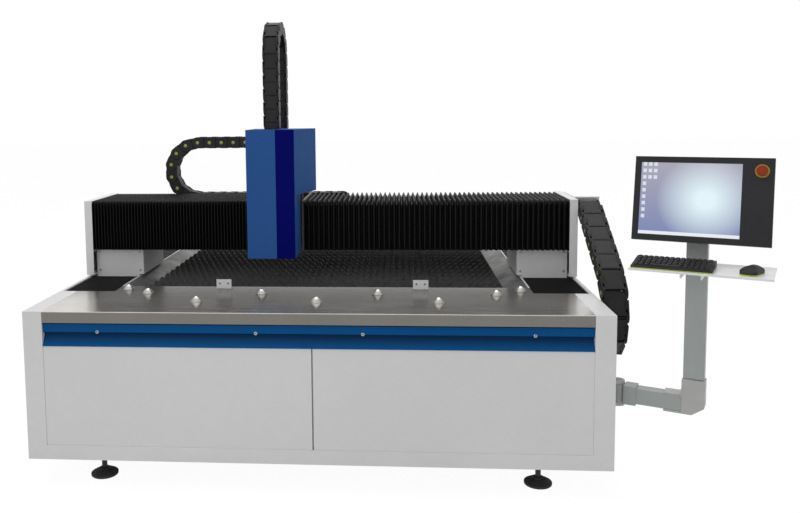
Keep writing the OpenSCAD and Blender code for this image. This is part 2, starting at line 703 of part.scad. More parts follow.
screw_d = 16;
module z_motor() color("dimgray") difference() {
    union() {
        box([z_x - 40, z_x + 40], [slide_y1 - 20, plate_y1], [plate_top, plate_top + 12]);
        box([z_x - 30, z_x + 30], [z_screw_y - 30, z_screw_y + 30], [plate_top + 12, hood_top - 12]);
    }
    rod(screw_d + 2, [z_x, z_screw_y, plate_top - 1], 13);
}

module z_screw() color("silver") rod(screw_d, [z_x, z_screw_y, screw_low], plate_top + 12 - screw_low);

z_rail_off = 34;
module z_rails() color("silver") for (s = [-1, 1])
    box([z_x + s * z_rail_off - 8, z_x + s * z_rail_off + 8], [plate_y0 - 16, plate_y0],
        [plate_low + 10, plate_top]);

module z_chain() color([0.1, 0.1, 0.11]) translate([z_chain_x, z_chain_y, z_bend_z])
    multmatrix([[0, 1, 0, 0], [0, 0, 1, 0], [1, 0, 0, 0]])
        chain_path(z_link, z_chain_h, z_chain_w, [z_front_links, 6, z_rear_links], z_chain_r, 180);

module z_slide() color("gray") {
    slide_y0 = slide_y1 - slide_t;
    box([z_x - 56, z_x + 56], [slide_y0, slide_y1], [slide_low, slide_top]);
    for (s = [-1, 1], z = [slide_low + 10, slide_low + 210]) difference() {
        box([z_x + s * z_rail_off - 17, z_x + s * z_rail_off + 17], [slide_y1, plate_y0 - 4], [z, z + 60]);
        box([z_x + s * z_rail_off - 8 - gap, z_x + s * z_rail_off + 8 + gap], [plate_y0 - 16 - gap, plate_y0],
            [z - 1, z + 61]);
    }
    difference() {
        box([z_x - 14, z_x + 14], [slide_y1, z_screw_y + 12], [slide_low + 200, slide_low + 240]);
        rod(screw_d + 2 * gap, [z_x, z_screw_y, slide_low + 199], 42);
    }
    box([z_x - 40, z_x + 40], [head_y + 46, slide_y0], [slide_low + 100, slide_low + 180]);
    box([z_chain_x - 50, z_x + 40], [z_chain_y - 35, slide_y0], [slide_top - 12, slide_top]);
}

module laser_head() color("silver") translate([z_x, head_y, slide_low]) rotate_extrude()
    polygon([[0, 0], [24, 0], [34, 14], [34, 60], [46, 66], [46, 190], [40, 196], [40, 290], [30, 296],
        [30, slide_h + 24], [0, slide_h + 24]]);

module nozzle() color("peru") translate([z_x, head_y, nozzle_z]) rotate_extrude()
    polygon([[2, 0], [5, 0], [16, 22], [16, 34], [22, 38], [22, slide_low - nozzle_z],
        [2, slide_low - nozzle_z]]);

pin_d = 20;
barrel_d = 60;
module wall_bracket() color("silver") {
    box([half_w, half_w + 10], [hinge_y - 60, hinge_y + 60], [arm_z - 75, arm_z + 75]);
    for (z = [arm_z - 55, arm_z + 40]) {
        box([half_w + 10, hinge_x], [hinge_y - 26, hinge_y + 26], [z, z + 15]);
        rod(52, [hinge_x, hinge_y, z], 15);
    }
    rod(pin_d, [hinge_x, hinge_y, arm_z - 55], 110);
}

module arm_tube() color("silver") console_frame() difference() {
    union() {
        rod(barrel_d, [0, 0, arm_z - 39.7], 79.4);
        box([26, 76], [-34, 34], [arm_z - 39.7, arm_z + 39.7]);
        box([26, column_u - 44], [-28, 28], [arm_z - 33, arm_z + 33]);
    }
    rod(pin_d + 2 * gap, [0, 0, arm_z - 41], 82);
    box([80, column_u], [-23, 23], [arm_z - 28, arm_z + 28]);
}

column_w = 80;
column_d = 50;
elbow_top = arm_z + 105;
module elbow() color("silver") console_frame() translate([0, 32, 0]) rotate([90, 0, 0]) linear_extrude(64)
    polygon([[column_u - 112, arm_z - 42], [column_u - 4, arm_z - 42], [column_u + 44, arm_z - 8],
        [column_u + 44, elbow_top], [column_u - 44, elbow_top], [column_u - 44, arm_z + 50],
        [column_u - 56, arm_z + 40], [column_u - 112, arm_z + 40],
        [column_u - 112, arm_z + 33], [column_u - 44, arm_z + 33], [column_u - 44, arm_z - 33],
        [column_u - 112, arm_z - 33]]);

module column() color("silver") console_frame() difference() {
    box([column_u - column_w / 2, column_u + column_w / 2], [-column_d / 2, column_d / 2],
        [elbow_top, monitor_low + 130]);
    box([column_u - column_w / 2 + 4, column_u + column_w / 2 - 4], [-column_d / 2 + 4, column_d / 2 - 4],
        [elbow_top + 4, monitor_low + 126]);
}

module keyboard_tray() color("white") console_frame() {
    box(tray_u, tray_v, [tray_z, tray_z + tray_sheet]);
    box(tray_u, [tray_v[0], tray_v[0] + tray_sheet], [tray_z - tray_edge, tray_z]);
    for (u = [column_u - 40, column_u + 34])
        box([u, u + 6], [tray_v[0] + 100, -column_d / 2], [tray_z - 40, tray_z]);
}

key_p = 19.6;
key_rows = 6;
key_row_p = 22;
board_w = 290;
board_d = 150;
board_h = [10, 27];
module keyboard() color([0.07, 0.07, 0.07]) console_frame()
    translate([tray_u[0] + 6, tray_v[0] + 8, tray_z + tray_sheet]) {
        along_x(0, board_w) polygon([[0, 0], [board_d, 0], [board_d, board_h[1]], [0, board_h[0]]]);
        rise = (board_h[1] - board_h[0]) / board_d * key_row_p;
        for (row = [0:key_rows - 1], k = [0:13])
            translate([8 + k * key_p, 10 + row * key_row_p, board_h[0] + row * rise]) cube([16.6, 19, 9]);
    }

mouse_r = 31;
mouse_dome = 64;
mouse_back = 34;
mouse_turn = -20;
module mouse() color([0.07, 0.07, 0.07]) console_frame()
    translate([tray_u[1] - 75, tray_v[0] + 75, tray_z + tray_sheet]) rotate(mouse_turn) intersection() {
        union() {
            translate([-mouse_r, -26, 0]) cube([2 * mouse_r, 52, 60]);
            for (v = [-26, 26]) translate([0, v, 0]) cylinder(r = mouse_r, h = 60);
        }
        translate([0, 0, 37 - mouse_dome]) sphere(mouse_dome);
        rod_y(2 * mouse_back, [0, -mouse_dome, 0], 2 * mouse_dome);
    }

bezel = 24;
screen_w = 364;
module monitor_frame() console_frame() translate([monitor_u - monitor_w / 2, -100, monitor_low])
    rotate([-monitor_tilt, 0, 0]) children();
estop_at = [monitor_w - 42, monitor_h - 50];
module monitor() color([0.1, 0.1, 0.11]) {
    monitor_frame() difference() {
        union() {
            box([0, monitor_w], [-monitor_t, -14], [0, monitor_h]);
            box([40, monitor_w - 40], [-14, 0], [40, monitor_h - 40]);
        }
        box([bezel, bezel + screen_w], [-monitor_t - 1, -monitor_t + 3], [bezel, monitor_h - bezel]);
        rod_y(17, [estop_at[0], -monitor_t - 1, estop_at[1]], 36);
    }
    console_frame() box([column_u - 38, column_u + 38], [-116, -column_d / 2],
        [monitor_low + 50, monitor_low + 110]);
}

module screen() color("lightblue") monitor_frame()
    box([bezel, bezel + screen_w], [-monitor_t + 1, -monitor_t + 3], [bezel, monitor_h - bezel]);

module estop_ring() color("gold") monitor_frame() translate([estop_at[0], -monitor_t, estop_at[1]])
    rotate([90, 0, 0]) difference() {
        cylinder(d1 = 52, d2 = 47, h = 6);
        translate([0, 0, -1]) cylinder(d = 17, h = 8);
    }

module estop_button() color("red") monitor_frame() translate([estop_at[0], -monitor_t, estop_at[1]])
    rotate([90, 0, 0]) rotate_extrude()
        polygon([[0, -20], [estop_r / 2 + 1, -20], [estop_r / 2 + 1, 13], [19, 13], [20, 15], [20, 22],
            [17, 26], [0, 28]]);

place() bed_frame();
place() front_surround();
place() front_panels();
place() blue_trim();
place() front_table();
place() ball_transfers();
place() bed_stops();
place() inner_plates();
place() cover_edges();
place() slat_rack();
place() slats();
place() scrap_tray();
place() rear_panel();
place() side_panels();
place() y_rails();
place() y_racks();
place() foot_pads();
place() foot_studs();
place() front_covers();
place() rear_covers();
place() y_chain_tray();
place() y_chain();
place() gantry_beam();
place() end_caps();
place() gantry_legs();
place() y_blocks();
place() y_motors();
place() y_pinion_left();
place() y_pinion_right();
place() x_rails();
place() x_rack();
place() bellows_left();
place() bellows_right();
place() x_chain_tray();
place() x_chain();
place() y_chain_bracket();
place() carriage_plate();
place() x_blocks();
place() x_motor();
place() x_pinion();
place() head_cover();
place() cover_stripe();
place() z_motor();
place() z_screw();
place() z_rails();
place() z_chain();
place() z_slide();
place() laser_head();
place() nozzle();
place() wall_bracket();
place() arm_tube();
place() elbow();
place() column();
place() keyboard_tray();
place() keyboard();
place() mouse();
place() monitor();
place() screen();
place() estop_ring();
place() estop_button();
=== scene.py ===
import bmesh
import bpy
import math
from mathutils import Matrix, Vector
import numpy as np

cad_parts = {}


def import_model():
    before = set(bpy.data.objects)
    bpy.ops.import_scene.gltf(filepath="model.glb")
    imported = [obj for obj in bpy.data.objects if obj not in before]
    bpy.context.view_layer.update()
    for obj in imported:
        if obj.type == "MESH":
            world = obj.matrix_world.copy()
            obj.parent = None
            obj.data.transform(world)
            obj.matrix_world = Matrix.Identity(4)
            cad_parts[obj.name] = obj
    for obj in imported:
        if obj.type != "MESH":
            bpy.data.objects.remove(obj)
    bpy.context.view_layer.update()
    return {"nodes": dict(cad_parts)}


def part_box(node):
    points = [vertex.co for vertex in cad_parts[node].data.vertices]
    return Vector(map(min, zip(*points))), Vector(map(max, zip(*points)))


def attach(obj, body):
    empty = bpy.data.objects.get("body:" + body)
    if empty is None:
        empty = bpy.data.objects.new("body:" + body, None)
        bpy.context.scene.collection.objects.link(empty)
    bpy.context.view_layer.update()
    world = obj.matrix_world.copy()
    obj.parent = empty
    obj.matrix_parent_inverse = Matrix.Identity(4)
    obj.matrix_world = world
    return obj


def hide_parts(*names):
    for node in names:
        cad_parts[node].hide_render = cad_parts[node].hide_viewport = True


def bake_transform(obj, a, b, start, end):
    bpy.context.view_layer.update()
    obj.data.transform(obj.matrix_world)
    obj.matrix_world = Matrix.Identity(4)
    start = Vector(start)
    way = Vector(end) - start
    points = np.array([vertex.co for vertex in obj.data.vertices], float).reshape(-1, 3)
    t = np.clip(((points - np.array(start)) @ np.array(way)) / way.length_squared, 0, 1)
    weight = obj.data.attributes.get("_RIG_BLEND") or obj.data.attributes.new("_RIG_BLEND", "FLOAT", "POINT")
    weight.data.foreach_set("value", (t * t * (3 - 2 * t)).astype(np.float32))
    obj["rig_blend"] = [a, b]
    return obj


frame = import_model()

# Viewpoint: a standing eye height in front of the short end, a little right of the bed's middle.
# The lens and the shift are those of the photograph's own frame of 800 by 513.
scene = bpy.context.scene
post_low, post_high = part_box("front_surround")
bed_mid, bed_front = (post_low[0] + post_high[0]) / 2, post_low[1]


def at(x, y, z):
    """A place measured in millimetres from the bed's front middle on the floor, in the row frame."""
    return Vector((bed_mid + x / 1000, bed_front + y / 1000, z / 1000))


picture_wide, picture_high, film_wide = 800, 513, 36
focal_px, middle_x, middle_y = 816.817, 332.707, 186.695
eye = at(358.1, -3333.3, 1619.7)
yaw, pitch, roll = (math.radians(angle) for angle in (4.4818, 5.2094, 0.6885))
forward = Vector((-math.sin(yaw) * math.cos(pitch), math.cos(yaw) * math.cos(pitch), -math.sin(pitch)))
level_right = Vector((math.cos(yaw), math.sin(yaw), 0))
level_down = forward.cross(level_right)
right = level_right * math.cos(roll) + level_down * math.sin(roll)
down = level_down * math.cos(roll) - level_right * math.sin(roll)
lens = bpy.data.cameras.new("front_view")
lens.sensor_width, lens.lens = film_wide, focal_px / picture_wide * film_wide
lens.shift_x = (picture_wide / 2 - middle_x) / picture_wide
lens.shift_y = (middle_y - picture_high / 2) / picture_wide
camera = bpy.data.objects.new("front_view", lens)
turn = Matrix((right, -down, -forward)).transposed().to_4x4()
camera.matrix_world = Matrix.Translation(eye) @ turn
scene.collection.objects.link(camera)
scene.camera = camera

# Studio: a pale matt floor, an even pale surround and two large soft lamps, one overhead and one in front.
# Floor and surround show white to the camera, in polished metal and through glass.
def wire(tree, *pairs):
    """Joins sockets, given in pairs of from and to."""
    for source, target in pairs:
        tree.links.new(source, target)


def sums(tree, operation, a, b=None):
    """One step of arithmetic between sockets or numbers."""
    step = tree.nodes.new("ShaderNodeMath")
    step.operation = operation
    for place, value in enumerate((a, b)):
        if isinstance(value, (int, float)):
            step.inputs[place].default_value = value
        elif value is not None:
            tree.links.new(value, step.inputs[place])
    return step.outputs[0]


def shade_of(tree, kind, colour, strength=None):
    """A shader of that kind in one colour, with its strength where it gives light."""
    shading = tree.nodes.new(kind)
    shading.inputs["Color"].default_value = (*colour, 1)
    if strength is not None:
        shading.inputs["Strength"].default_value = strength
    return shading.outputs[0]


def background(tree, lit, shown, share, output):
    """Joins what light falls on and what shows as background: to the camera, in gloss and through glass."""
    rays = tree.nodes.new("ShaderNodeLightPath")
    seen = rays.outputs["Is Camera Ray"]
    for kind in ("Is Glossy Ray", "Is Transmission Ray"):
        seen = sums(tree, "MAXIMUM", seen, rays.outputs[kind])
    either = tree.nodes.new("ShaderNodeMixShader")
    wire(tree, (sums(tree, "MULTIPLY", seen, share), either.inputs[0]),
         (lit, either.inputs[1]), (shown, either.inputs[2]),
         (either.outputs[0], tree.nodes.new(output).inputs["Surface"]))


scene.view_settings.view_transform = "Standard"
surround = bpy.data.worlds.new("surround")
surround.use_nodes = True
tree = surround.node_tree
tree.nodes.clear()
background(tree, shade_of(tree, "ShaderNodeBackground", (0.98, 0.99, 1.0), 0.42),
           shade_of(tree, "ShaderNodeBackground", (1, 1, 1), 1.0), 1.0, "ShaderNodeOutputWorld")
scene.world = surround

for lamp_name, place, aim, wide, deep, watts in (
    ("overhead_softbox", at(0, 1400, 5600), at(0, 1500, 0), 7.0, 9.0, 210),
    ("front_softbox", at(-2600, -6500, 3600), at(0, 400, 700), 5.0, 4.0, 55),
):
    softbox = bpy.data.lights.new(lamp_name, "AREA")
    softbox.shape, softbox.size, softbox.size_y, softbox.energy = "RECTANGLE", wide, deep, watts
    lamp = bpy.data.objects.new(lamp_name, softbox)
    towards = (aim - place).to_track_quat("-Z", "Y").to_matrix().to_4x4()
    lamp.matrix_world = Matrix.Translation(place) @ towards
    scene.collection.objects.link(lamp)

floor_reach = 40
floor_mesh = bpy.data.meshes.new("studio_floor")
floor_mesh.from_pydata([(x * floor_reach, y * floor_reach, 0) for x, y in ((-1, -1), (1, -1), (1, 1), (-1, 1))],
                       [], [(0, 1, 2, 3)])
floor = bpy.data.objects.new("studio_floor", floor_mesh)
scene.collection.objects.link(floor)
matt = bpy.data.materials.new("pale_floor")
matt.use_nodes = True
tree = matt.node_tree
tree.nodes.clear()
background(tree, shade_of(tree, "ShaderNodeBsdfDiffuse", (0.9, 0.9, 0.9)),
           shade_of(tree, "ShaderNodeEmission", (1, 1, 1), 1.06), 0.9, "ShaderNodeOutputMaterial")
floor_mesh.materials.append(matt)

# Bed frame: two long box beams tied by four low cross members, welded from steel plate.
# They carry the rails, the slat rack and the panels. Every white sheet of the bed shares their powder coat,
# a fine pebbled skin, slightly uneven in tone, with a little dust lying on what faces up.
def effect(name, ins, outs):
    """An empty shader group with named numbers in and out, and its two end nodes."""
    group = bpy.data.node_groups.new(name, "ShaderNodeTree")
    for socket, start in ins:
        group.interface.new_socket(socket, in_out="INPUT", socket_type="NodeSocketFloat").default_value = start
    for socket in outs:
        group.interface.new_socket(socket, in_out="OUTPUT", socket_type="NodeSocketFloat")
    return group, group.nodes.new("NodeGroupInput"), group.nodes.new("NodeGroupOutput")


def placed(tree, group, values):
    """The outputs of a shared effect, placed in a material with its own numbers."""
    copy = tree.nodes.new("ShaderNodeGroup")
    copy.node_tree = group
    for socket, value in zip(copy.inputs, values):
        socket.default_value = value
    return copy.outputs


def noise(tree, vector, scale, detail, rough=0.5):
    """A noise texture read at that place, with so many lumps to the metre."""
    texture = tree.nodes.new("ShaderNodeTexNoise")
    texture.inputs["Detail"].default_value = detail
    texture.inputs["Roughness"].default_value = rough
    if isinstance(scale, (int, float)):
        texture.inputs["Scale"].default_value = scale
    else:
        tree.links.new(scale, texture.inputs["Scale"])
    tree.links.new(vector, texture.inputs["Vector"])
    return texture.outputs["Fac"]


def between(tree, value, low, high, to_low=0.0, to_high=1.0):
    """A value stretched from one range to another and held at its ends."""
    stretch = tree.nodes.new("ShaderNodeMapRange")
    tree.links.new(value, stretch.inputs["Value"])
    for socket, number in zip(("From Min", "From Max", "To Min", "To Max"), (low, high, to_low, to_high)):
        stretch.inputs[socket].default_value = number
    return stretch.outputs[0]


def mixed(tree, share, a, b):
    """Colour a going to colour b by that share."""
    mix = tree.nodes.new("ShaderNodeMix")
    mix.data_type = "RGBA"
    tree.links.new(share, mix.inputs["Factor"])
    for place, value in ((6, a), (7, b)):
        if isinstance(value, tuple):
            mix.inputs[place].default_value = (*value, 1)
        else:
            tree.links.new(value, mix.inputs[place])
    return mix.outputs[2]


def axes_of(tree, vector):
    """The three parts of a place or a direction."""
    parts = tree.nodes.new("ShaderNodeSeparateXYZ")
    tree.links.new(vector, parts.inputs[0])
    return parts.outputs


powder, ins, outs = effect("powder_coat", (("Lumps", 620.0), ("Soil", 0.06)), ("Pebble", "Tone", "Dust"))
where = powder.nodes.new("ShaderNodeTexCoord")
spot = where.outputs["Object"]
broad = sums(powder, "MULTIPLY", noise(powder, spot, 1.7, 4.0), 0.7)
small = sums(powder, "MULTIPLY", noise(powder, spot, 23.0, 3.0), 0.3)
lying = between(powder, axes_of(powder, where.outputs["Normal"])["Z"], 0.6, 1.0)
specks = between(powder, noise(powder, spot, 60.0, 6.0, 0.7), 0.45, 0.75)
dust = sums(powder, "MULTIPLY", sums(powder, "MULTIPLY", lying, specks), ins.outputs["Soil"])
wire(powder, (noise(powder, spot, ins.outputs["Lumps"], 2.0), outs.inputs["Pebble"]),
     (sums(powder, "ADD", broad, small), outs.inputs["Tone"]), (dust, outs.inputs["Dust"]))


def bare_material(name):
    """A new material with its tree, its principled shader and its object coordinates."""
    finish = bpy.data.materials.new(name)
    finish.use_nodes = True
    tree = finish.node_tree
    where = tree.nodes.new("ShaderNodeTexCoord")
    return finish, tree, tree.nodes["Principled BSDF"], where.outputs["Object"]


def skinned(tree, shader, colour, rough, relief=None, metallic=0.0, gloss=0.5):
    """Feeds the shader its colour, its roughness and a relief of height, strength and distance."""
    wire(tree, (colour, shader.inputs["Base Color"]), (rough, shader.inputs["Roughness"]))
    shader.inputs["Metallic"].default_value = metallic
    shader.inputs["Specular IOR Level"].default_value = gloss
    if relief:
        height, strength, distance = relief
        bump = tree.nodes.new("ShaderNodeBump")
        bump.inputs["Strength"].default_value = strength
        bump.inputs["Distance"].default_value = distance
        wire(tree, (height, bump.inputs["Height"]), (bump.outputs[0], shader.inputs["Normal"]))


def painted(name, colour, shade, rough=0.42, lumps=620.0, soil=0.06, gloss=0.4):
    """Powder-coated steel of that colour, which drifts towards shade."""
    finish, tree, shader, _ = bare_material(name)
    coat = placed(tree, powder, (lumps, soil))
    skin = mixed(tree, between(tree, coat["Tone"], 0.35, 0.65), colour, shade)
    dusty = mixed(tree, coat["Dust"], skin, (0.42, 0.40, 0.37))
    uneven = between(tree, coat["Tone"], 0.3, 0.7, rough - 0.06, rough + 0.06)
    skinned(tree, shader, dusty, uneven, (coat["Pebble"], 0.22, 0.0006), gloss=gloss)
    return finish


def smoothed(mesh, angle):
    """Shades a mesh smoothly up to edges of so many degrees."""
    mesh.polygons.foreach_set("use_smooth", [True] * len(mesh.polygons))
    mesh.set_sharp_from_angle(angle=math.radians(angle))


def finished(mesh, name, material, body, stands_for=(), smooth=35):
    """A piece of the object from its mesh: linked, finished, riding on its body and standing for its nodes."""
    piece = bpy.data.objects.new(name, mesh)
    scene.collection.objects.link(piece)
    if material is not None:
        mesh.materials.clear()
        mesh.materials.append(material)
    if smooth:
        smoothed(mesh, smooth)
    if body:
        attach(piece, body)
    for node in stands_for:
        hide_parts(node)
    return piece


def soft_edged(node, width, smooth, cut=None):
    """A copy of a solid with its doubled points merged, its flat faces joined and its edges rounded."""
    mesh = frame["nodes"][node].data.copy()
    work = bmesh.new()
    work.from_mesh(mesh)
    bmesh.ops.remove_doubles(work, verts=work.verts, dist=2e-5)
    bmesh.ops.dissolve_limit(work, angle_limit=math.radians(0.4), verts=work.verts, edges=work.edges)
    if cut:
        cut(work)
    work.to_mesh(mesh)
    work.free()
    for layer in [a.name for a in mesh.attributes if a.name == "custom_normal"]:
        mesh.attributes.remove(mesh.attributes[layer])
    smoothed(mesh, smooth)
    holder = bpy.data.objects.new("edge_work", mesh)
    scene.collection.objects.link(holder)
    round_over = holder.modifiers.new("rounded_edges", "BEVEL")
    round_over.width, round_over.segments = width / 1000, 2
    round_over.limit_method, round_over.angle_limit = "ANGLE", math.radians(32)
    round_over.use_clamp_overlap, round_over.harden_normals = True, True
    ready = holder.evaluated_get(bpy.context.evaluated_depsgraph_get())
    mesh = bpy.data.meshes.new_from_object(ready)
    bpy.data.objects.remove(holder)
    return mesh


def dressed(node, width, material, body, smooth=35):
    """A node with its edges rounded and its finish on, which stands for the plain solid."""
    return finished(soft_edged(node, width, smooth), f"{node}_finish", material, body, (node,), 0)


white_coat = painted("white_powder_coat", (0.80, 0.79, 0.79), (0.75, 0.74, 0.74))
dressed("bed_frame", 4.0, white_coat, "bed")

# Feet: moulded rubber pads under threaded studs with a lock nut, which level the bed.
# The pads carry a fine mould texture, and the studs are blackened.
def moulded(name, colour, shade, rough, patches, grain=None, relief=None, gloss=0.5):
    """Moulded rubber or plastic that drifts from colour to shade in patches, with its mould's texture."""
    finish, tree, shader, spot = bare_material(name)
    tone = noise(tree, spot, *patches)
    skin = (noise(tree, spot, *grain), *relief) if grain else None
    skinned(tree, shader, mixed(tree, tone, colour, shade), between(tree, tone, 0.3, 0.7, *rough), skin,
            gloss=gloss)
    return finish


rubber = moulded("moulded_rubber", (0.010, 0.010, 0.011), (0.035, 0.034, 0.033), (0.65, 0.85),
                 (900.0, 3.0), (900.0, 3.0), (0.3, 0.0008))
dressed("foot_pads", 1.0, rubber, "bed", 40)

# Brushed metal: fine lines along one direction, and broad cloudy patches where hands and oil have been.
# The studs, the screws and every other bare metal share it, each at its own scale.
brush, ins, outs = effect("brushed_lines", (("Along X", 4.0), ("Along Y", 900.0), ("Along Z", 900.0)),
                          ("Line", "Cloud"))
where = brush.nodes.new("ShaderNodeTexCoord")
stretch = brush.nodes.new("ShaderNodeCombineXYZ")
drawn = brush.nodes.new("ShaderNodeVectorMath")
drawn.operation = "MULTIPLY"
wire(brush, *[(ins.outputs[f"Along {axis}"], stretch.inputs[axis]) for axis in "XYZ"],
     (where.outputs["Object"], drawn.inputs[0]), (stretch.outputs[0], drawn.inputs[1]),
     (noise(brush, drawn.outputs[0], 1.0, 4.0, 0.65), outs.inputs["Line"]),
     (noise(brush, where.outputs["Object"], 5.0, 5.0, 0.6), outs.inputs["Cloud"]))


def metal(name, colour, shade, rough, grain, metallic=1.0, strength=0.12):
    """Bare metal with a drawn or ground grain, which runs along the axis of the smallest number."""
    finish, tree, shader, _ = bare_material(name)
    lines = placed(tree, brush, grain)
    share = sums(tree, "ADD", sums(tree, "MULTIPLY", lines["Line"], 0.55),
                 sums(tree, "MULTIPLY", lines["Cloud"], 0.45))
    skinned(tree, shader, mixed(tree, between(tree, share, 0.35, 0.65), colour, shade),
            between(tree, share, 0.3, 0.7, rough - 0.08, rough + 0.1),
            (lines["Line"], strength, 0.0004), metallic)
    return finish


even_grain = (300.0, 300.0, 300.0)
zinc = metal("zinc_plate", (0.46, 0.45, 0.42), (0.34, 0.33, 0.30), 0.35, even_grain)
blackened = metal("black_oxide", (0.018, 0.018, 0.019), (0.034, 0.033, 0.032), 0.45, even_grain, 0.5)
dressed("foot_studs", 1.0, blackened, "bed", 25)

# Front surround: folded white sheet posts at both corners, the rail under the panels and narrow top strips.
# The folds are tight, so the edges are rounded by the thickness of the sheet.
dressed("front_surround", 2.5, white_coat, "bed")

# Front panels: two plain folded sheets, side by side, hooked into the surround with a seam in the middle.
# They are powder coated, and a folded channel behind the seam joins them.
panel_coat = painted("panel_powder_coat", (0.79, 0.78, 0.78), (0.755, 0.745, 0.75), 0.36, 520.0)
dressed("front_panels", 3.0, panel_coat, "bed")


def slab(outline, y0, y1):
    """A flat plate from an outline in x and z, between two y faces."""
    many = len(outline)
    verts = [(x, y0, z) for x, z in outline] + [(x, y1, z) for x, z in outline]
    faces = [tuple(range(many)), tuple(range(2 * many - 1, many - 1, -1))]
    faces += [(i, i + many, (i + 1) % many + many, (i + 1) % many) for i in range(many)]
    return verts, faces


def faced(verts, faces, round_by=0):
    """A mesh in metres whose faces point outwards, with its edges rounded by so many millimetres."""
    mesh = bpy.data.meshes.new("shape")
    mesh.from_pydata(verts, [], faces)
    work = bmesh.new()
    work.from_mesh(mesh)
    bmesh.ops.recalc_face_normals(work, faces=work.faces)
    if round_by:
        edges = [e for e in work.edges if len(e.link_faces) == 2 and e.calc_face_angle(0) > math.radians(35)]
        bmesh.ops.bevel(work, geom=edges, offset=round_by / 1000, segments=1, affect="EDGES",
                        clamp_overlap=True)
    work.to_mesh(mesh)
    work.free()
    return mesh


def solid_of(parts, round_by, turn=None):
    """One mesh from several plates in millimetres, with their edges rounded, turned or moved to its place."""
    verts, faces = [], []
    for part_verts, part_faces in parts:
        faces += [tuple(i + len(verts) for i in f) for f in part_faces]
        verts += [tuple(c / 1000 for c in v) for v in part_verts]
    mesh = faced(verts, faces, round_by)
    if turn:
        mesh.transform(turn)
    return mesh


panel_low, panel_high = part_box("front_panels")
seam_back = panel_high[1] * 1000 + 0.5
channel = [(-30, 0), (30, 0), (30, 12), (28, 12), (28, 2), (-28, 2), (-28, 12), (-30, 12)]
seam_strip = slab([(bed_mid * 1000 + x, -seam_back - y) for x, y in channel],
                  panel_low[2] * 1000 + 1, panel_high[2] * 1000 - 1)
finished(solid_of([seam_strip], 0.5, Matrix.Rotation(math.pi / 2, 4, "X")), "seam_channel", panel_coat, "bed")

# Side and rear panels: white sheet hung on the bed frame.
# Their top rim is folded over along the pleated covers.
for node in ("side_panels", "rear_panel"):
    dressed(node, 1.2, white_coat, "bed")

# Trim strip: a pressed blue sheet across the front with a crease along its middle.
# It is held by four plated screws along the crease, and painted shade darkens the flute under its ledge.
trim_coat = painted("trim_blue_coat", (0.0034, 0.093, 0.290), (0.0030, 0.083, 0.262), 0.45, 700.0, 0.0, 0.05)
trim_low, trim_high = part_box("blue_trim")
flute_foot, flute_deep, ledge, ledge_edge = (trim_low[2] + rise for rise in (0.008, 0.044, 0.0605, 0.0615))
tree = trim_coat.node_tree
coated = tree.nodes["Principled BSDF"].inputs["Base Color"]
height = axes_of(tree, tree.nodes["Texture Coordinate"].outputs["Object"])["Z"]
# Painted shade: the flute darkens from its foot up to just under the ledge.
flute = between(tree, height, flute_foot, flute_deep, 0.0, 0.85)
under_ledge = between(tree, height, ledge, ledge_edge, 1.0, 0.0)
painted_flute_shade = mixed(tree, sums(tree, "MULTIPLY", flute, under_ledge), coated.links[0].from_socket,
               (0.005, 0.027, 0.076))
tree.links.new(painted_flute_shade, coated)
dressed("blue_trim", 1.0, trim_coat, "bed")


def repeat_tree(name, inputs):
    """An empty geometry tree with its named inputs, a shape and a finish among them, and its two end nodes."""
    tree = bpy.data.node_groups.new(name, "GeometryNodeTree")
    tree.is_modifier = True
    ends = (("Points", "Geometry", "INPUT"), ("Shape", "Object", "INPUT"), ("Finish", "Material", "INPUT"),
            *((socket, kind, "INPUT") for socket, kind in inputs), ("Pieces", "Geometry", "OUTPUT"))
    for socket, kind, way in ends:
        tree.interface.new_socket(socket, in_out=way, socket_type=f"NodeSocket{kind}")
    return tree, tree.nodes.new("NodeGroupInput"), tree.nodes.new("NodeGroupOutput")


def put_on(tree, ins, outs, points):
    """Ends a geometry tree: the shape on each point, as one plain mesh with its finish on."""
    shape_in, placing, realised, coloured = (tree.nodes.new(f"GeometryNode{kind}") for kind in (
        "ObjectInfo", "InstanceOnPoints", "RealizeInstances", "SetMaterial"))
    wire(tree, (ins.outputs["Shape"], shape_in.inputs["Object"]), (points, placing.inputs["Points"]),
         (shape_in.outputs["Geometry"], placing.inputs["Instance"]),
         (placing.outputs["Instances"], realised.inputs["Geometry"]),
         (realised.outputs["Geometry"], coloured.inputs["Geometry"]),
         (ins.outputs["Finish"], coloured.inputs["Material"]),
         (coloured.outputs["Geometry"], outs.inputs["Pieces"]))
    return placing


# One tree serves the screws, the ball transfers and the chain links.
# It takes a shape, its places with the turn at each, its size and its finish.
on_points, ins, outs = repeat_tree("shape_on_points", (("Size", "Vector"),))
turn_in = on_points.nodes.new("GeometryNodeInputNamedAttribute")
turn_in.data_type = "FLOAT_VECTOR"
turn_in.inputs["Name"].default_value = "turn"
as_turn = on_points.nodes.new("FunctionNodeEulerToRotation")
placing = put_on(on_points, ins, outs, ins.outputs["Points"])
wire(on_points, (turn_in.outputs["Attribute"], as_turn.inputs["Euler"]),
     (as_turn.outputs["Rotation"], placing.inputs["Rotation"]), (ins.outputs["Size"], placing.inputs["Scale"]))


def grown(shape, points_mesh, tree, values):
    """The plain mesh that a geometry tree makes of a shape, with its named inputs set."""
    pattern, single = (bpy.data.objects.new("pattern_work", mesh) for mesh in (points_mesh, shape))
    for holder in (pattern, single):
        scene.collection.objects.link(holder)
    modifier = pattern.modifiers.new("pattern", "NODES")
    modifier.node_group = tree
    for socket in tree.interface.items_tree:
        if socket.in_out == "INPUT" and socket.name != "Points":
            modifier[socket.identifier] = single if socket.name == "Shape" else values[socket.name]
    pattern.update_tag()
    bpy.context.view_layer.update()
    mesh = bpy.data.meshes.new_from_object(pattern.evaluated_get(bpy.context.evaluated_depsgraph_get()))
    pattern.modifiers.remove(modifier)
    for holder in (pattern, single):
        bpy.data.objects.remove(holder)
    return mesh


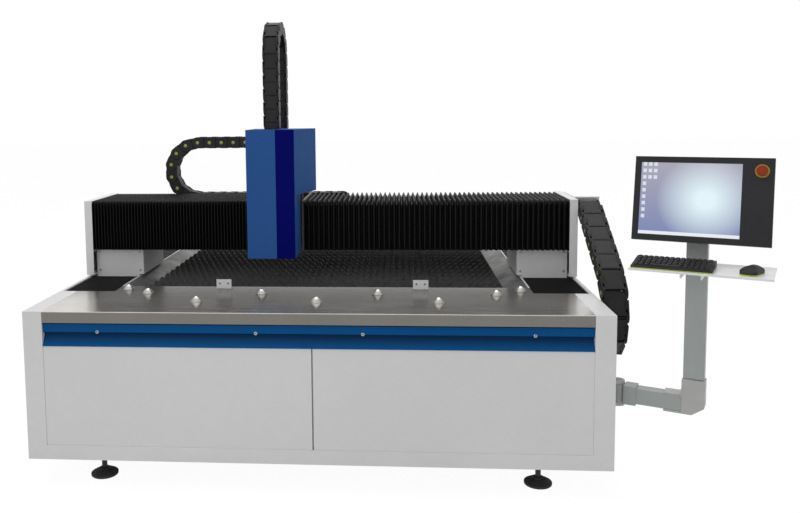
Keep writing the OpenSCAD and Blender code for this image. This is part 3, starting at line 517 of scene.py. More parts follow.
def repeated(shape, places, material, turns=None):
    """A shape at each place, with its turn about x, y and z, joined to one mesh."""
    points = bpy.data.meshes.new("places")
    points.from_pydata([tuple(p) for p in places], [], [])
    attribute = points.attributes.new("turn", "FLOAT_VECTOR", "POINT")
    attribute.data.foreach_set("vector", [c for t in (turns or [(0, 0, 0)] * len(places)) for c in t])
    return grown(shape, points, on_points, {"Size": (1, 1, 1), "Finish": material})


def lathe(profile, sides):
    """A turned shape about z from pairs of radius and height in millimetres, closed where the radius is 0."""
    verts, faces, rings = [], [], []
    round_about = [(math.cos(2 * math.pi * i / sides), math.sin(2 * math.pi * i / sides)) for i in range(sides)]
    for radius, height in profile:
        ring = [(radius / 1000 * c, radius / 1000 * s, height / 1000) for c, s in round_about] if radius else []
        ring = ring or [(0, 0, height / 1000)]
        rings.append(range(len(verts), len(verts) + len(ring)))
        verts += ring
    for a, b in zip(rings, rings[1:]):
        for i in range(sides):
            j = (i + 1) % sides
            if len(a) == 1:
                faces.append((a[0], b[j], b[i]))
            elif len(b) == 1:
                faces.append((a[i], a[j], b[0]))
            else:
                faces.append((a[i], a[j], b[j], b[i]))
    return faced(verts, faces)


def socket_screw(head, height):
    """A button screw with a hexagon socket, lying on its seat with its head along +z."""
    profile = ((1, 0), (1, 0.35), (0.9, 0.8), (0.62, 1), (0.5, 1), (0.46, 0.35), (0, 0.3))
    return lathe([(head * out, height * up) for out, up in profile], 12)


crease_z, screw_seat, screw_lean = trim_high[2] - 0.036, trim_low[1] + 0.0125, math.pi / 2 - 0.12
screw_places = [Vector((bed_mid + x, screw_seat, crease_z)) for x in (-0.925, -0.238, 0.215, 0.925)]
finished(repeated(socket_screw(8, 5), screw_places, zinc, [(screw_lean, 0, 0)] * 4),
         "trim_screws", None, "bed")

# Panel screws: plated button screws through the edges of the side and rear panels into the frame.
# They stand near the corners of each side panel and along the rear one.
side_low, side_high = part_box("side_panels")
rear_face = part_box("rear_panel")[1][1]
panel_step = (side_high[1] - side_low[1]) / 4
foot_row, middle_row, top_row = 0.16, 0.45, 0.735
screw_places, screw_turns = [], []
for i in range(4):
    for y in (side_low[1] + i * panel_step + 0.03, side_low[1] + (i + 1) * panel_step - 0.033):
        for z in (foot_row, middle_row, top_row):
            for side in (-1, 1):
                screw_places.append(Vector((bed_mid + side * (side_high[0] - bed_mid), y, z)))
                screw_turns.append((0, side * math.pi / 2, 0))
for x in (-1.2, -0.72, -0.24, 0.24, 0.72, 1.2):
    for z in (foot_row, top_row):
        screw_places.append(Vector((bed_mid + x, rear_face, z)))
        screw_turns.append((-math.pi / 2, 0, 0))
finished(repeated(socket_screw(6, 3.5), screw_places, zinc, screw_turns),
         "panel_screws", None, "bed")

# Front table: one stainless sheet folded down over the front, brushed from side to side.
# Sheets are slid in over it, so it carries long fine scratches along the way they travel.
# A painted dim reflection darkens it towards the slats, and painted shade darkens its folded-down lip.
table_low, table_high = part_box("front_table")
dim_reflection_from, dim_reflection_to = table_low[1] + 0.18, table_high[1] - 0.05
lip_shade_from, lip_shade_to = table_high[2] - 0.004, table_high[2] - 0.0015
table_steel, tree, shader, spot = bare_material("brushed_stainless")
place = axes_of(tree, spot)
lines = placed(tree, brush, (3.0, 700.0, 700.0))
rubbed = placed(tree, brush, (260.0, 2.2, 260.0))
sheet = mixed(tree, between(tree, lines["Cloud"], 0.3, 0.7), (0.70, 0.68, 0.64), (0.54, 0.525, 0.49))
for share, tone in (
    (between(tree, lines["Line"], 0.35, 0.7, 0.0, 0.35), (0.25, 0.24, 0.22)),
    # Painted dim reflection: darker towards the slats.
    (between(tree, place["Y"], dim_reflection_from, dim_reflection_to, 0.0, 0.88), (0.12, 0.115, 0.11)),
    # Painted shade: the folded-down lip below the top face is darker.
    (between(tree, place["Z"], lip_shade_from, lip_shade_to, 0.92, 0.0), (0.155, 0.145, 0.13)),
    (between(tree, rubbed["Line"], 0.62, 0.74, 0.0, 0.5), (0.52, 0.51, 0.49)),
):
    sheet = mixed(tree, share, sheet, tone)
skinned(tree, shader, sheet, between(tree, lines["Line"], 0.3, 0.7, 0.15, 0.31),
        (lines["Line"], 0.1, 0.0003), 0.88)
dressed("front_table", 1.4, table_steel, "bed")

# Ball transfers: a pressed zinc cup dropped into a hole in the table, with a polished ball proud of it.
# Sheets roll over them in any direction.
table_z, ball_radius, ball_up = 783, 15, 9
transfer_rows = {212: (-540, 0, 540), 372: (-810, -270, 270, 810), 455: (-930, 930)}
transfer_places = [at(x, y, table_z) for y, row in transfer_rows.items() for x in row]
cup = lathe([(17.5, -11.5), (17.5, 0.2), (26.6, 0.2), (27, 1.4), (26.2, 3.0), (23, 3.6), (20.8, 7.5),
             (19.4, 10.5), (17.4, 14.6), (15.8, 15.8), (14.4, 15.2), (13.9, 13.4), (14.9, 10.0)], 40)
polished = metal("polished_ball", (0.62, 0.61, 0.60), (0.52, 0.51, 0.50), 0.12, (60.0, 60.0, 60.0), 1.0, 0.03)
belts = [math.radians(d) for d in range(-80, 81, 10)]
ball = lathe([(0, ball_up - ball_radius)]
             + [(ball_radius * math.cos(a), ball_up + ball_radius * math.sin(a)) for a in belts]
             + [(0, ball_up + ball_radius)], 40)
finished(repeated(cup, transfer_places, zinc), "transfer_cups", None, "bed", ("ball_transfers",))
finished(repeated(ball, transfer_places, polished), "transfer_balls", None, "bed", (), 60)

# Bed stops: two small white brackets at the back of the table, against which a sheet is squared.
# They are bent from sheet, with two holes each.
dressed("bed_stops", 2.2, white_coat, "bed")

# Inner side plates: dull grey sheet that leans in towards the slats, and the white edge strips of the covers.
# Sparks have browned and spattered the sheet.
sheet_grey, tree, shader, spot = bare_material("spattered_sheet")
speck = tree.nodes.new("ShaderNodeTexVoronoi")
speck.inputs["Scale"].default_value = 240.0
tree.links.new(spot, speck.inputs["Vector"])
from_speck = speck.outputs["Distance"]
cloud = noise(tree, spot, 7.0, 6.0, 0.62)
dull = mixed(tree, between(tree, cloud, 0.35, 0.68), (0.15, 0.15, 0.146), (0.085, 0.083, 0.078))
spattered = mixed(tree, between(tree, from_speck, 0.10, 0.22, 0.55, 0.0), dull, (0.05, 0.04, 0.035))
skinned(tree, shader, spattered, between(tree, cloud, 0.3, 0.7, 0.38, 0.62), (from_speck, 0.12, 0.0005), 0.55)
dressed("inner_plates", 1.0, sheet_grey, "bed")
dressed("cover_edges", 1.0, white_coat, "bed")

# Slat rack and scrap tray: rolled steel bars on the beams and a folded tray under the slats.
# Both keep the scale of the rolling mill.
scaled = metal("mill_scale", (0.065, 0.062, 0.060), (0.13, 0.115, 0.10), 0.55, (18.0, 18.0, 18.0), 0.6, 0.3)
dressed("slat_rack", 1.5, scaled, "bed")
dressed("scrap_tray", 1.0, scaled, "bed")

# Scrap apron: a sheet with folded edges under the rear lip, so that slag falls into the tray.
# It is folded from the tray's steel and screwed to the frame's beams.
tray_low, tray_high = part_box("scrap_tray")
slat_low, slat_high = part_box("slats")
apron_y, apron_fold, apron_t = tray_high[1] * 1000 + 0.5, 25, 2
apron_foot, apron_top = tray_low[2] * 1000 + 1, slat_low[2] * 1000 - 1
profile = [(0, 0), (apron_fold, 0), (apron_fold, apron_t), (apron_t, apron_t)]
profile = ([(apron_y + y, apron_foot + z) for y, z in profile]
           + [(apron_y + y, apron_top - z) for y, z in reversed(profile)])
apron = slab(profile, -slat_high[0] * 1000 + 5, -slat_low[0] * 1000 - 5)
finished(solid_of([apron], 0.5, Matrix.Rotation(math.pi / 2, 4, "Z")),
         "scrap_apron", scaled, "bed")

# Scrap chutes: two folded sheets under the rack's side bars, which lead slag over the tray's brim.
# They hang from the bars by their top flange, and a short lip turns down inside the brim.
rack_low, rack_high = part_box("slat_rack")
rack_mid, rack_half = (rack_low[0] + rack_high[0]) * 500, (rack_high[0] - rack_low[0]) * 500
chute_t, flange, flange_top = 2, 41, rack_low[2] * 1000 - 1
bar, brim, lip = rack_half - 2, tray_high[2] * 1000, (tray_high[0] - tray_low[0]) * 500 - 12
profile = [(bar, flange_top), (bar - flange, flange_top), (lip - chute_t, brim + 3.5),
           (lip - chute_t, brim - 6), (lip, brim - 6), (lip, brim + 2.6),
           (bar - flange + 1, flange_top - chute_t), (bar, flange_top - chute_t)]
chutes = [slab([(rack_mid + side * x, z) for x, z in profile], rack_low[1] * 1000 + 1, rack_high[1] * 1000 - 1)
          for side in (-1, 1)]
finished(solid_of(chutes, 0.4), "scrap_chutes", scaled, "bed")

# Slats: thin steel strips on edge across the bed, cut with a row of teeth that carry the sheet.
# The teeth are burnt blue-black and pitted, and the strips are dark with scale.
burnt_deep, tooth_deep, tooth_about = 0.045, 0.018, 0.034
slat_steel, tree, shader, spot = bare_material("burnt_slat_steel")
burn = between(tree, axes_of(tree, spot)["Z"], slat_high[2] - burnt_deep, slat_high[2])
patch = noise(tree, spot, 34.0, 6.0, 0.65)
scale_tone = mixed(tree, between(tree, patch, 0.35, 0.7), (0.085, 0.083, 0.086), (0.17, 0.155, 0.14))
burnt = mixed(tree, sums(tree, "MULTIPLY", burn, 0.75), scale_tone, (0.048, 0.048, 0.055))
skinned(tree, shader, burnt, between(tree, patch, 0.3, 0.7, 0.45, 0.75), (patch, 0.35, 0.0012), 0.55)
in_rows, ins, outs = repeat_tree("shape_in_rows", (("Count", "Int"), ("Start", "Vector"), ("Step", "Vector")))
row = in_rows.nodes.new("GeometryNodeMeshLine")
wire(in_rows, (ins.outputs["Count"], row.inputs["Count"]),
     (ins.outputs["Start"], row.inputs["Start Location"]), (ins.outputs["Step"], row.inputs["Offset"]))
put_on(in_rows, ins, outs, row.outputs["Mesh"])


def rows_of(shape, count, start, step, material):
    """A shape repeated in a straight row, joined to one mesh."""
    return grown(shape, bpy.data.meshes.new("no_points"), in_rows,
                 {"Count": count, "Start": start, "Step": step, "Finish": material})


slat_width, slat_thick, slat_pitch = slat_high[0] - slat_low[0], 0.004, 0.1
slat_count = round((slat_high[1] - slat_low[1] - slat_thick) / slat_pitch) + 1
teeth = math.floor(slat_width / tooth_about)
tooth, tip_z, root_z = slat_width / teeth, slat_high[2], slat_high[2] - tooth_deep
outline = [(slat_low[0], slat_low[2])]
for i in range(teeth):
    x = slat_low[0] + i * tooth
    outline += [(x, root_z), (x + 0.32 * tooth, tip_z), (x + 0.68 * tooth, tip_z)]
outline += [(slat_high[0], root_z), (slat_high[0], slat_low[2])]
slat = faced(*slab(outline, 0, slat_thick))
finished(rows_of(slat, slat_count, (0, slat_low[1], 0), (0, slat_pitch, 0), slat_steel),
         "toothed_slats", None, "bed", ("slats",), 0)

# Long rails and racks: ground guide rails and hardened racks along both beams, under the pleated covers.
# They are screwed down on machined seats, and the grinding lines run along them.
ground_tones = ((0.50, 0.49, 0.47), (0.40, 0.39, 0.37), 0.25)
ground = metal("ground_steel", *ground_tones, (700.0, 6.0, 700.0))
dressed("y_rails", 0.8, ground, "bed")
dressed("y_racks", 0.4, ground, "bed")

# Pleated way covers: coated black cloth folded flat over the rails.
# They are clipped to the bed's ends and to the gantry's legs. Each is made of short lengths of pleats,
# so that all of it closes up and opens evenly as the gantry runs.
def cloth(name, colour, crest_colour, threads=1500.0):
    """Coated cloth with a fine weave, paler along its crests, a painted highlight with some wear."""
    finish, tree, shader, spot = bare_material(name)
    weave = None
    for axis in "XZY":
        wave = tree.nodes.new("ShaderNodeTexWave")
        wave.bands_direction = axis
        wave.inputs["Scale"].default_value = threads / 6.283
        tree.links.new(spot, wave.inputs["Vector"])
        threads_up = wave.outputs["Fac"]
        weave = threads_up if weave is None else sums(tree, "ADD", weave, threads_up)
    crest = tree.nodes.new("ShaderNodeAttribute")
    crest.attribute_name = "crest"
    cloth_patches = noise(tree, spot, 40.0, 5.0, 0.6)
    # Painted highlight with some wear: the crests go paler, more in some patches.
    crest_highlight_and_wear = sums(tree, "MULTIPLY", crest.outputs["Fac"], between(tree, cloth_patches, 0.3, 0.7, 0.35, 1.0))
    skinned(tree, shader, mixed(tree, crest_highlight_and_wear, colour, crest_colour), between(tree, cloth_patches, 0.3, 0.7, 0.42, 0.6),
            (weave, 0.15, 0.0003), gloss=0.12)
    return finish


def pleat(rings, crests):
    """One fold between closed rows of points given in metres, with a crest value for each row."""
    many = len(rings[0])
    faces = [(r * many + j, r * many + (j + 1) % many, (r + 1) * many + (j + 1) % many, (r + 1) * many + j)
             for r in range(len(rings) - 1) for j in range(many)]
    mesh = faced([point for ring in rings for point in ring], faces)
    attribute = mesh.attributes.new("crest", "FLOAT", "POINT")
    attribute.data.foreach_set("value", [c for c in crests for _ in range(many)])
    return mesh


def ease_inverse(w):
    """Where along its length a smooth step reaches that share."""
    low, high = 0.0, 1.0
    for _ in range(50):
        mid = (low + high) / 2
        low, high = (mid, high) if mid * mid * (3 - 2 * mid) < w else (low, mid)
    return (low + high) / 2


def share_ends(p0, p1, w0, w1):
    """Start and end of a blend that gives share w0 at p0 and share w1 at p1."""
    t0, t1 = ease_inverse(w0), ease_inverse(w1)
    whole = (p1 - p0) / (t1 - t0)
    start = p0 - whole * t0
    return tuple(start), tuple(start + whole)


def folding(name, shape, cuts, start, end, material, bodies, node):
    """Lengths of pleats from start to end, each moving by its share between two bodies."""
    total = cuts[-1]
    step = (end - start) / total
    for number, (c0, c1) in enumerate(zip(cuts, cuts[1:])):
        mesh = rows_of(shape, c1 - c0, start + step * c0, step, material)
        piece = finished(mesh, f"{name}_{number + 1}", None, None, (), 0)
        w0, w1 = max(c0 / total, 0.006), min(c1 / total, 0.994)
        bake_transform(piece, *bodies, *share_ends(start + step * c0, start + step * c1, w0, w1))
        if number == 0:
            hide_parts(node)


cover_cloth = cloth("way_cover_cloth", (0.0030, 0.0030, 0.0033), (0.0085, 0.0085, 0.0088))
cover_inner, cover_outer, cover_gap, cover_t = 0.982, 1.232, 0.0006, 0.0025
cover_cuts = [0, 1, 2, 4, 8, 15, 22, 26, 28, 29, 30]
zigzag = ((0.0, 0.0), (0.06, 0.0), (0.44, 1.0), (0.56, 1.0), (0.94, 0.0), (1.0, 0.0))
for node, bodies in (("front_covers", ("bed", "gantry")), ("rear_covers", ("gantry", "bed"))):
    low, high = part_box(node)
    pitch = (high[1] - low[1]) / cover_cuts[-1]
    for side, hand in ((-1, "left"), (1, "right")):
        x0, x1 = sorted((bed_mid + side * cover_inner, bed_mid + side * cover_outer))
        x0, x1 = x0 + cover_gap, x1 - cover_gap
        rings = []
        for share, up in zigzag:
            y, z = share * pitch, low[2] + 0.003 + up * (high[2] - low[2] - 0.006)
            rings.append([(x0, y, z), (x1, y, z), (x1, y, z - cover_t), (x0, y, z - cover_t)])
        folding(f"{node}_{hand}", pleat(rings, [up for _, up in zigzag]), cover_cuts,
                Vector((0, low[1], 0)), Vector((0, high[1], 0)), cover_cloth, bodies, node)

# Gantry: a welded box beam between two white end caps, on two boxed legs that straddle the rails.
# Caps and legs are painted sheet, and the cap's corners are rounded. The drive of each side hangs on its leg.
cap_coat = painted("cap_powder_coat", (0.82, 0.82, 0.82), (0.77, 0.77, 0.77), 0.4, 560.0)
for node, width in (("gantry_beam", 2.0), ("end_caps", 4.0), ("gantry_legs", 3.0)):
    dressed(node, width, cap_coat, "gantry")
leg_low, leg_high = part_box("gantry_legs")
leg_screws = [Vector((bed_mid + side * x, leg_low[1], leg_high[2] - drop))
              for side in (-1, 1) for x in (0.978, 1.192) for drop in (0.118, 0.022)]
finished(repeated(socket_screw(6, 3.5), leg_screws, zinc, [(math.pi / 2, 0, 0)] * len(leg_screws)),
         "leg_screws", None, "gantry")
ground_across = metal("ground_cross_rail", *ground_tones, (6.0, 700.0, 700.0))
motor_coat = painted("motor_black_coat", (0.020, 0.020, 0.021), (0.030, 0.030, 0.031), 0.45, 900.0, 0.1)
for node, width, finish, body, slot in (
    ("y_blocks", 1.5, ground, "gantry", "bare_steel"),
    ("x_rails", 0.8, ground_across, "gantry", "bare_steel"),
    ("x_rack", 0.4, ground, "gantry", "bare_steel"),
    ("y_motors", 2.5, motor_coat, "gantry", "motor_black"),
    ("y_pinion_left", 0.4, ground, "y_pinion_left", "bare_steel"),
    ("y_pinion_right", 0.4, ground, "y_pinion_right", "bare_steel"),
    ("x_chain_tray", 1.0, cap_coat, "gantry", "white_paint"),
    ("y_chain_bracket", 4.0, cap_coat, "gantry", "white_paint"),
    ("y_chain_tray", 1.0, white_coat, "bed", "white_paint"),
):
    dressed(node, width, finish, body)

# Bellows: black coated cloth, folded round the front and top of the beam and stiffened in each fold.
# The left one is more tightly closed than the right one, since the head stands left of the middle.
bellows_skin = cloth("bellows_coated_cloth", (0.0030, 0.0030, 0.0034), (0.0105, 0.0105, 0.0112), 1300.0)
low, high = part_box("bellows_left")
front, back, foot, crown = low[1], high[1], low[2], high[2]
valley, corner, wall = 0.0242, 0.018, 0.044


def bellows_ring(x, depth):
    """The outline of a fold that lies so deep under the crests, closed by the wall's inner side."""
    return [(x, front + depth, foot), (x, front + depth, crown - corner - depth * 0.4),
            (x, front + depth + corner * 0.3 + depth * 0.1, crown - corner * 0.3 - depth * 0.8),
            (x, front + corner + depth * 0.4, crown - depth), (x, back, crown - depth),
            (x, back, crown - wall), (x, front + wall, crown - wall), (x, front + wall, foot)]


bellows_cuts = [0, 1, 3, 9, 26, 43, 49, 51, 52]
zigzag = ((0.0, 0.0), (0.10, 0.0), (0.44, 1.0), (0.56, 1.0), (0.90, 0.0), (1.0, 0.0))
for node, bodies in (("bellows_left", ("gantry", "carriage")), ("bellows_right", ("carriage", "gantry"))):
    low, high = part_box(node)
    pitch = (high[0] - low[0]) / bellows_cuts[-1]
    fold = pleat([bellows_ring(share * pitch, deep * valley) for share, deep in zigzag],
                 [1 - deep for _, deep in zigzag])
    folding(node, fold, bellows_cuts, Vector((low[0], 0, 0)), Vector((high[0], 0, 0)), bellows_skin,
            bodies, node)

# Cable chains: moulded black links, with two outer cheeks at one end and two inner cheeks at the other.
# They turn on short bright pins, and a snap-on lid on both faces, tongued under the next, closes each link.
def cheek(a, b, h):
    """A link's cheek with its round end about a and its square end at b."""
    side = 1 if a < b else -1
    turns = [math.radians(d) for d in range(-90, 91, 15)]
    return [(a - side * h / 2 * math.cos(d), h / 2 * math.sin(d)) for d in turns] + [(b, h / 2), (b, -h / 2)]


def block(x, y, z):
    """A rectangular bar between pairs of faces."""
    return slab([(x[0], z[0]), (x[1], z[0]), (x[1], z[1]), (x[0], z[1])], y[0], y[1])


def link_lid(p, h, ends, half, face):
    """A lid over one face of a link, its tongue under the next lid, a raised field and two snap catches."""
    under, tongue_under, tongue_top, top = 0.37, 0.28, 0.33, 0.45
    start, stop, neck, tip = ends[0] * p, ends[1] * p, ends[1] * p - h * 0.06, p + h * 0.15
    outline = [(start, under), (neck, under), (neck, tongue_under), (tip, tongue_under),
               (tip, tongue_top), (stop, tongue_top), (stop, top), (start, top)]
    field, catch = (sorted((face * h * 0.44, face * h * up)) for up in (0.462, 0.472))
    parts = [slab([(x, face * z * h) for x, z in outline], -half, half)]
    parts.append(block((start + h * 0.09, stop - h * 0.09), (h * 0.14 - half, half - h * 0.14), field))
    for s in (-1, 1):
        across = sorted((s * (half - h * 0.10), s * (half - h * 0.02)))
        parts.append(block((p * 0.42, p * 0.62), across, catch))
    return parts


def chain_link(p, h, w):
    """One closed link of pitch p, height h and width w: outer cheeks at 0, inner ones at p, two lids."""
    t, high, gap = w * 0.06, h - 0.6, 0.3
    inner = w / 2 - t - gap
    crank = (high * 0.48 + 1, p - high / 2 - 1)
    joint = (crank[0] + gap, crank[1] - gap)
    parts = []
    for s in (-1, 1):
        parts.append(slab(cheek(0, crank[1], high), *sorted((s * (w / 2 - t), s * w / 2))))
        parts.append(slab(cheek(p, crank[0], high * 0.96), *sorted((s * (inner - t), s * inner))))
        across = sorted((s * (inner - t + 0.2), s * (w / 2 - 0.4)))
        parts.append(block(joint, across, (-high * 0.47, high * 0.47)))
    parts += link_lid(p, h, (0.11, 0.89), inner - t - gap, 1)
    parts += link_lid(p, h, (0.02, 0.98), inner - t - gap, -1)
    return solid_of(parts, 0.8)


def chain_pin(h, w):
    """The pin on which two links turn: a small disc on each outer cheek."""
    rim, face = h * 0.15, w / 2
    profile = ((0, 1.4), (rim * 0.5, 1.2), (rim, 0.2), (rim, -1.5), (0, -1.5))
    discs = bmesh.new()
    for turn in (-math.pi / 2, math.pi / 2):
        disc = lathe([(out, face + up) for out, up in profile], 12)
        disc.transform(Matrix.Rotation(turn, 4, "X"))
        discs.from_mesh(disc)
    discs.to_mesh(disc)
    discs.free()
    return disc


link_plastic, tree, shader, spot = bare_material("glass_filled_nylon")
fleck = noise(tree, spot, 1100.0, 3.0)
haze = between(tree, noise(tree, spot, 16.0, 4.0), 0.35, 0.7)
skinned(tree, shader, mixed(tree, haze, (0.007, 0.007, 0.0075), (0.014, 0.014, 0.0145)),
        between(tree, fleck, 0.3, 0.7, 0.38, 0.58), (fleck, 0.18, 0.0004), gloss=0.25)
pin_lime = moulded("lime_pin", (0.46, 0.47, 0.10), (0.30, 0.31, 0.05), (0.35, 0.55), (500.0, 3.0))


def laid_chain(name, node, pitch, high, wide, runs, radius, sweep, frame_of, bodies, shares, pin_finish):
    """A chain of two straight runs and a bend, in lengths that each move by their share between two bodies."""
    def along(x):
        """So far along a straight run."""
        return Matrix.Translation((x / 1000, 0, 0))

    def round_bend(a):
        """So far round the bend."""
        return Matrix.Translation((radius * math.sin(a) / 1000, 0, (radius - radius * math.cos(a)) / 1000))

    step, whole = math.radians(sweep / runs[1]), math.radians(sweep)
    top = round_bend(whole) @ Matrix.Rotation(-whole, 4, "Y")
    bend = [round_bend(i * step) @ Matrix.Rotation(-(i + 0.5) * step, 4, "Y") for i in range(runs[1])]
    places = {"low": ([along(-(i + 1) * pitch) for i in range(runs[0])], pitch),
              "bend": (bend, 2 * radius * math.sin(step / 2)),
              "top": ([top @ along(i * pitch) for i in range(runs[2])], pitch)}
    way = frame_of.to_3x3() @ Vector((1, 0, 0))
    pin = chain_pin(high, wide)
    first = True
    for run, c0, c1, w0, w1 in shares:
        spread, link_long = places[run]
        mine = [frame_of @ place for place in spread[c0:c1]]
        spots = [place.translation for place in mine]
        turns = [tuple(place.to_euler("XYZ")) for place in mine]
        link = chain_link(link_long, high, wide)
        for label, shape, material in (("links", link, link_plastic), ("pins", pin, pin_finish)):
            mesh = repeated(shape, spots, material, turns)
            piece = finished(mesh, f"{name}_{label}_{run}_{c0}", None, None, (), 30)
            if run == "bend":
                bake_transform(piece, *bodies, tuple(spots[0] - way * 1000), tuple(spots[0] + way * 1000))
            else:
                back, ahead = (mine[-1], mine[0]) if run == "low" else (mine[0], mine[-1])
                tail, nose = back.translation, ahead @ Vector((pitch / 1000, 0, 0))
                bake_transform(piece, *bodies, *share_ends(way * way.dot(tail), way * way.dot(nose), w0, w1))
            if first:
                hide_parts(node)
                first = False


# Long chain: it lies in the tray on the bed's right side and feeds the gantry.
# It rolls over at the front, up to a bracket on the gantry.
long_frame = Matrix.Translation(at(1316, 488, 510)) @ Matrix.Rotation(-math.pi / 2, 4, "Z")
laid_chain("long_chain", "y_chain", pitch=100, high=62, wide=112, runs=(16, 5, 5), radius=200, sweep=149,
           frame_of=long_frame, bodies=("bed", "gantry"), pin_finish=pin_lime, shares=(
               ("low", 12, 16, 0.004, 0.03), ("low", 8, 12, 0.03, 0.12), ("low", 4, 8, 0.12, 0.28),
               ("low", 0, 4, 0.28, 0.5), ("bend", 0, 5, 0.5, 0.5), ("top", 0, 3, 0.5, 0.8),
               ("top", 3, 5, 0.8, 0.99)))

# Cross chain: it lies in the tray behind the beam and feeds the carriage.
# It rolls over at the left and ends on the carriage's arm.
cross_frame = Matrix.Translation(at(-759, 1245, 1141)) @ Matrix.Rotation(math.pi, 4, "Z")
laid_chain("cross_chain", "x_chain", pitch=68, high=64, wide=90, runs=(12, 7, 6), radius=158, sweep=180,
           frame_of=cross_frame, bodies=("gantry", "carriage"), pin_finish=pin_lime, shares=(
               ("low", 8, 12, 0.004, 0.08), ("low", 4, 8, 0.08, 0.26), ("low", 0, 4, 0.26, 0.5),
               ("bend", 0, 7, 0.5, 0.5), ("top", 0, 3, 0.5, 0.76), ("top", 3, 6, 0.76, 0.99)))

# Lift chain: it stands up out of the head cover, bends over and comes down behind it to the carriage.
# Its pins are black like its links.
lift_top, lift_foot, lift_high, lift_count = 1898, 1347, 60, 8
lift_link = (lift_top - lift_foot - lift_high / 2) / lift_count
upright = Matrix(((0, 1, 0, 0), (0, 0, 1, 0), (1, 0, 0, 0), (0, 0, 0, 1)))
lift_frame = Matrix.Translation(at(-245, 630, lift_top)) @ upright
laid_chain("lift_chain", "z_chain", pitch=lift_link, high=lift_high, wide=77, runs=(lift_count, 6, 6),
           radius=145, sweep=180, frame_of=lift_frame, bodies=("laser_head", "carriage"),
           pin_finish=link_plastic, shares=(
               ("low", 4, 8, 0.01, 0.2), ("low", 0, 4, 0.2, 0.5), ("bend", 0, 6, 0.5, 0.5),
               ("top", 0, 3, 0.5, 0.8), ("top", 3, 6, 0.8, 0.99)))

# Carriage: a machined plate on four bearing blocks, with the bellows frames, the drive and the chain arms.
# It is dark phosphated steel, and most of it is hidden by the cover.
phosphate = metal("phosphated_steel", (0.085, 0.085, 0.088), (0.055, 0.054, 0.054), 0.5, (60.0, 60.0, 60.0),
                  0.5, 0.2)
for node, width, finish, body, slot in (
    ("carriage_plate", 1.2, phosphate, "carriage", "bare_steel"),
    ("x_blocks", 1.5, ground, "carriage", "bare_steel"),
    ("x_motor", 2.5, motor_coat, "carriage", "motor_black"),
    ("x_pinion", 0.4, ground, "x_pinion", "bare_steel"),
    ("z_motor", 2.0, motor_coat, "carriage", "motor_black"),
    ("z_rails", 0.6, ground, "carriage", "bare_steel"),
    ("z_screw", 0.6, ground, "z_screw", "bare_steel"),
):
    dressed(node, width, finish, body)

# Head cover: folded sheet in mid blue, flared out at its upper right, and a dark stripe panel let in flush.
# Both are smooth satin paint, cleaner than the bed's powder coat.
cover_blue = painted("cover_satin_blue", (0.031, 0.108, 0.335), (0.028, 0.098, 0.310), 0.55, 850.0, 0.0, 0.04)
stripe_navy = painted("stripe_satin_navy", (0.0008, 0.0018, 0.135), (0.0007, 0.0016, 0.120), 0.5, 850.0, 0.0,
                      0.04)
dressed("head_cover", 2.5, cover_blue, "carriage")
dressed("cover_stripe", 0.8, stripe_navy, "carriage")

# Cutting head: a slide on the lift screw, a turned alloy barrel with collars, and a copper nozzle under it.
# The slide is phosphated like the carriage, and the nozzle is screwed into the barrel's foot.
alloy = metal("anodised_alloy", (0.50, 0.50, 0.51), (0.42, 0.42, 0.43), 0.3, (350.0, 350.0, 12.0))
copper = metal("turned_copper", (0.62, 0.31, 0.16), (0.50, 0.23, 0.11), 0.25, (40.0, 40.0, 900.0))
dressed("z_slide", 1.5, phosphate, "laser_head")
dressed("laser_head", 1.0, alloy, "laser_head", 40)
dressed("nozzle", 0.4, copper, "laser_head", 40)

# Console arm: cast and extruded alloy, painted a silky grey. The tube hinges on a bracket on the bed's side
# and ends in a cast elbow, which carries the flat column.
arm_grey = painted("arm_silk_grey", (0.42, 0.445, 0.43), (0.38, 0.40, 0.385), 0.36, 1000.0, 0.05, 0.3)
cast_grey = painted("elbow_cast_grey", (0.52, 0.525, 0.50), (0.45, 0.455, 0.435), 0.42, 420.0, 0.05, 0.3)
for node, width, finish, body in (
    ("wall_bracket", 2.0, cast_grey, "bed"), ("arm_tube", 4.0, arm_grey, "console"),
    ("elbow", 7.0, cast_grey, "console"), ("column", 5.0, arm_grey, "console"),
):
    dressed(node, width, finish, body)

# Keyboard tray: a white sheet with a turned-down front edge.
# It stands on two brackets at the column.
tray_white = painted("tray_white", (0.90, 0.90, 0.905), (0.86, 0.86, 0.865), 0.4, 600.0)
dressed("keyboard_tray", 0.9, tray_white, "console")

# Keyboard and mouse: black moulded plastic with a lime strip round the foot of their cases.
# Keycaps taper upwards and stand in six rows, with a long bar in the lowest.
key_black = moulded("key_plastic", (0.008, 0.008, 0.009), (0.018, 0.018, 0.019), (0.4, 0.62), (60.0, 4.0),
                    (1800.0, 2.0), (0.15, 0.0003), 0.25)
lime = moulded("lime_strip", (0.46, 0.58, 0.05), (0.38, 0.50, 0.04), (0.4, 0.55), (400.0, 3.0))
console = Matrix.Translation(at(1300, 150, 0)) @ Matrix.Rotation(math.radians(-26), 4, "Z")
board = console @ Matrix.Translation((0.090, -0.292, 1.010))
board_wide, board_deep, board_front, board_rise, foot_high = 290, 150, 10, 17, 4
wedge = ((0, foot_high), (board_deep, foot_high), (board_deep, board_front + board_rise), (0, board_front))
case = ([(x, y, z) for x in (0, board_wide) for y, z in wedge],
        [(0, 1, 2, 3), (7, 6, 5, 4), (0, 4, 5, 1), (1, 5, 6, 2), (2, 6, 7, 3), (3, 7, 4, 0)])
finished(solid_of([case], 2.0, board), "keyboard_case", key_black, "console", ("keyboard",))
strip = block((1, board_wide - 1), (1, board_deep - 1), (0, foot_high + 0.2))
finished(solid_of([strip], 0.8, board), "keyboard_foot", lime, "console")


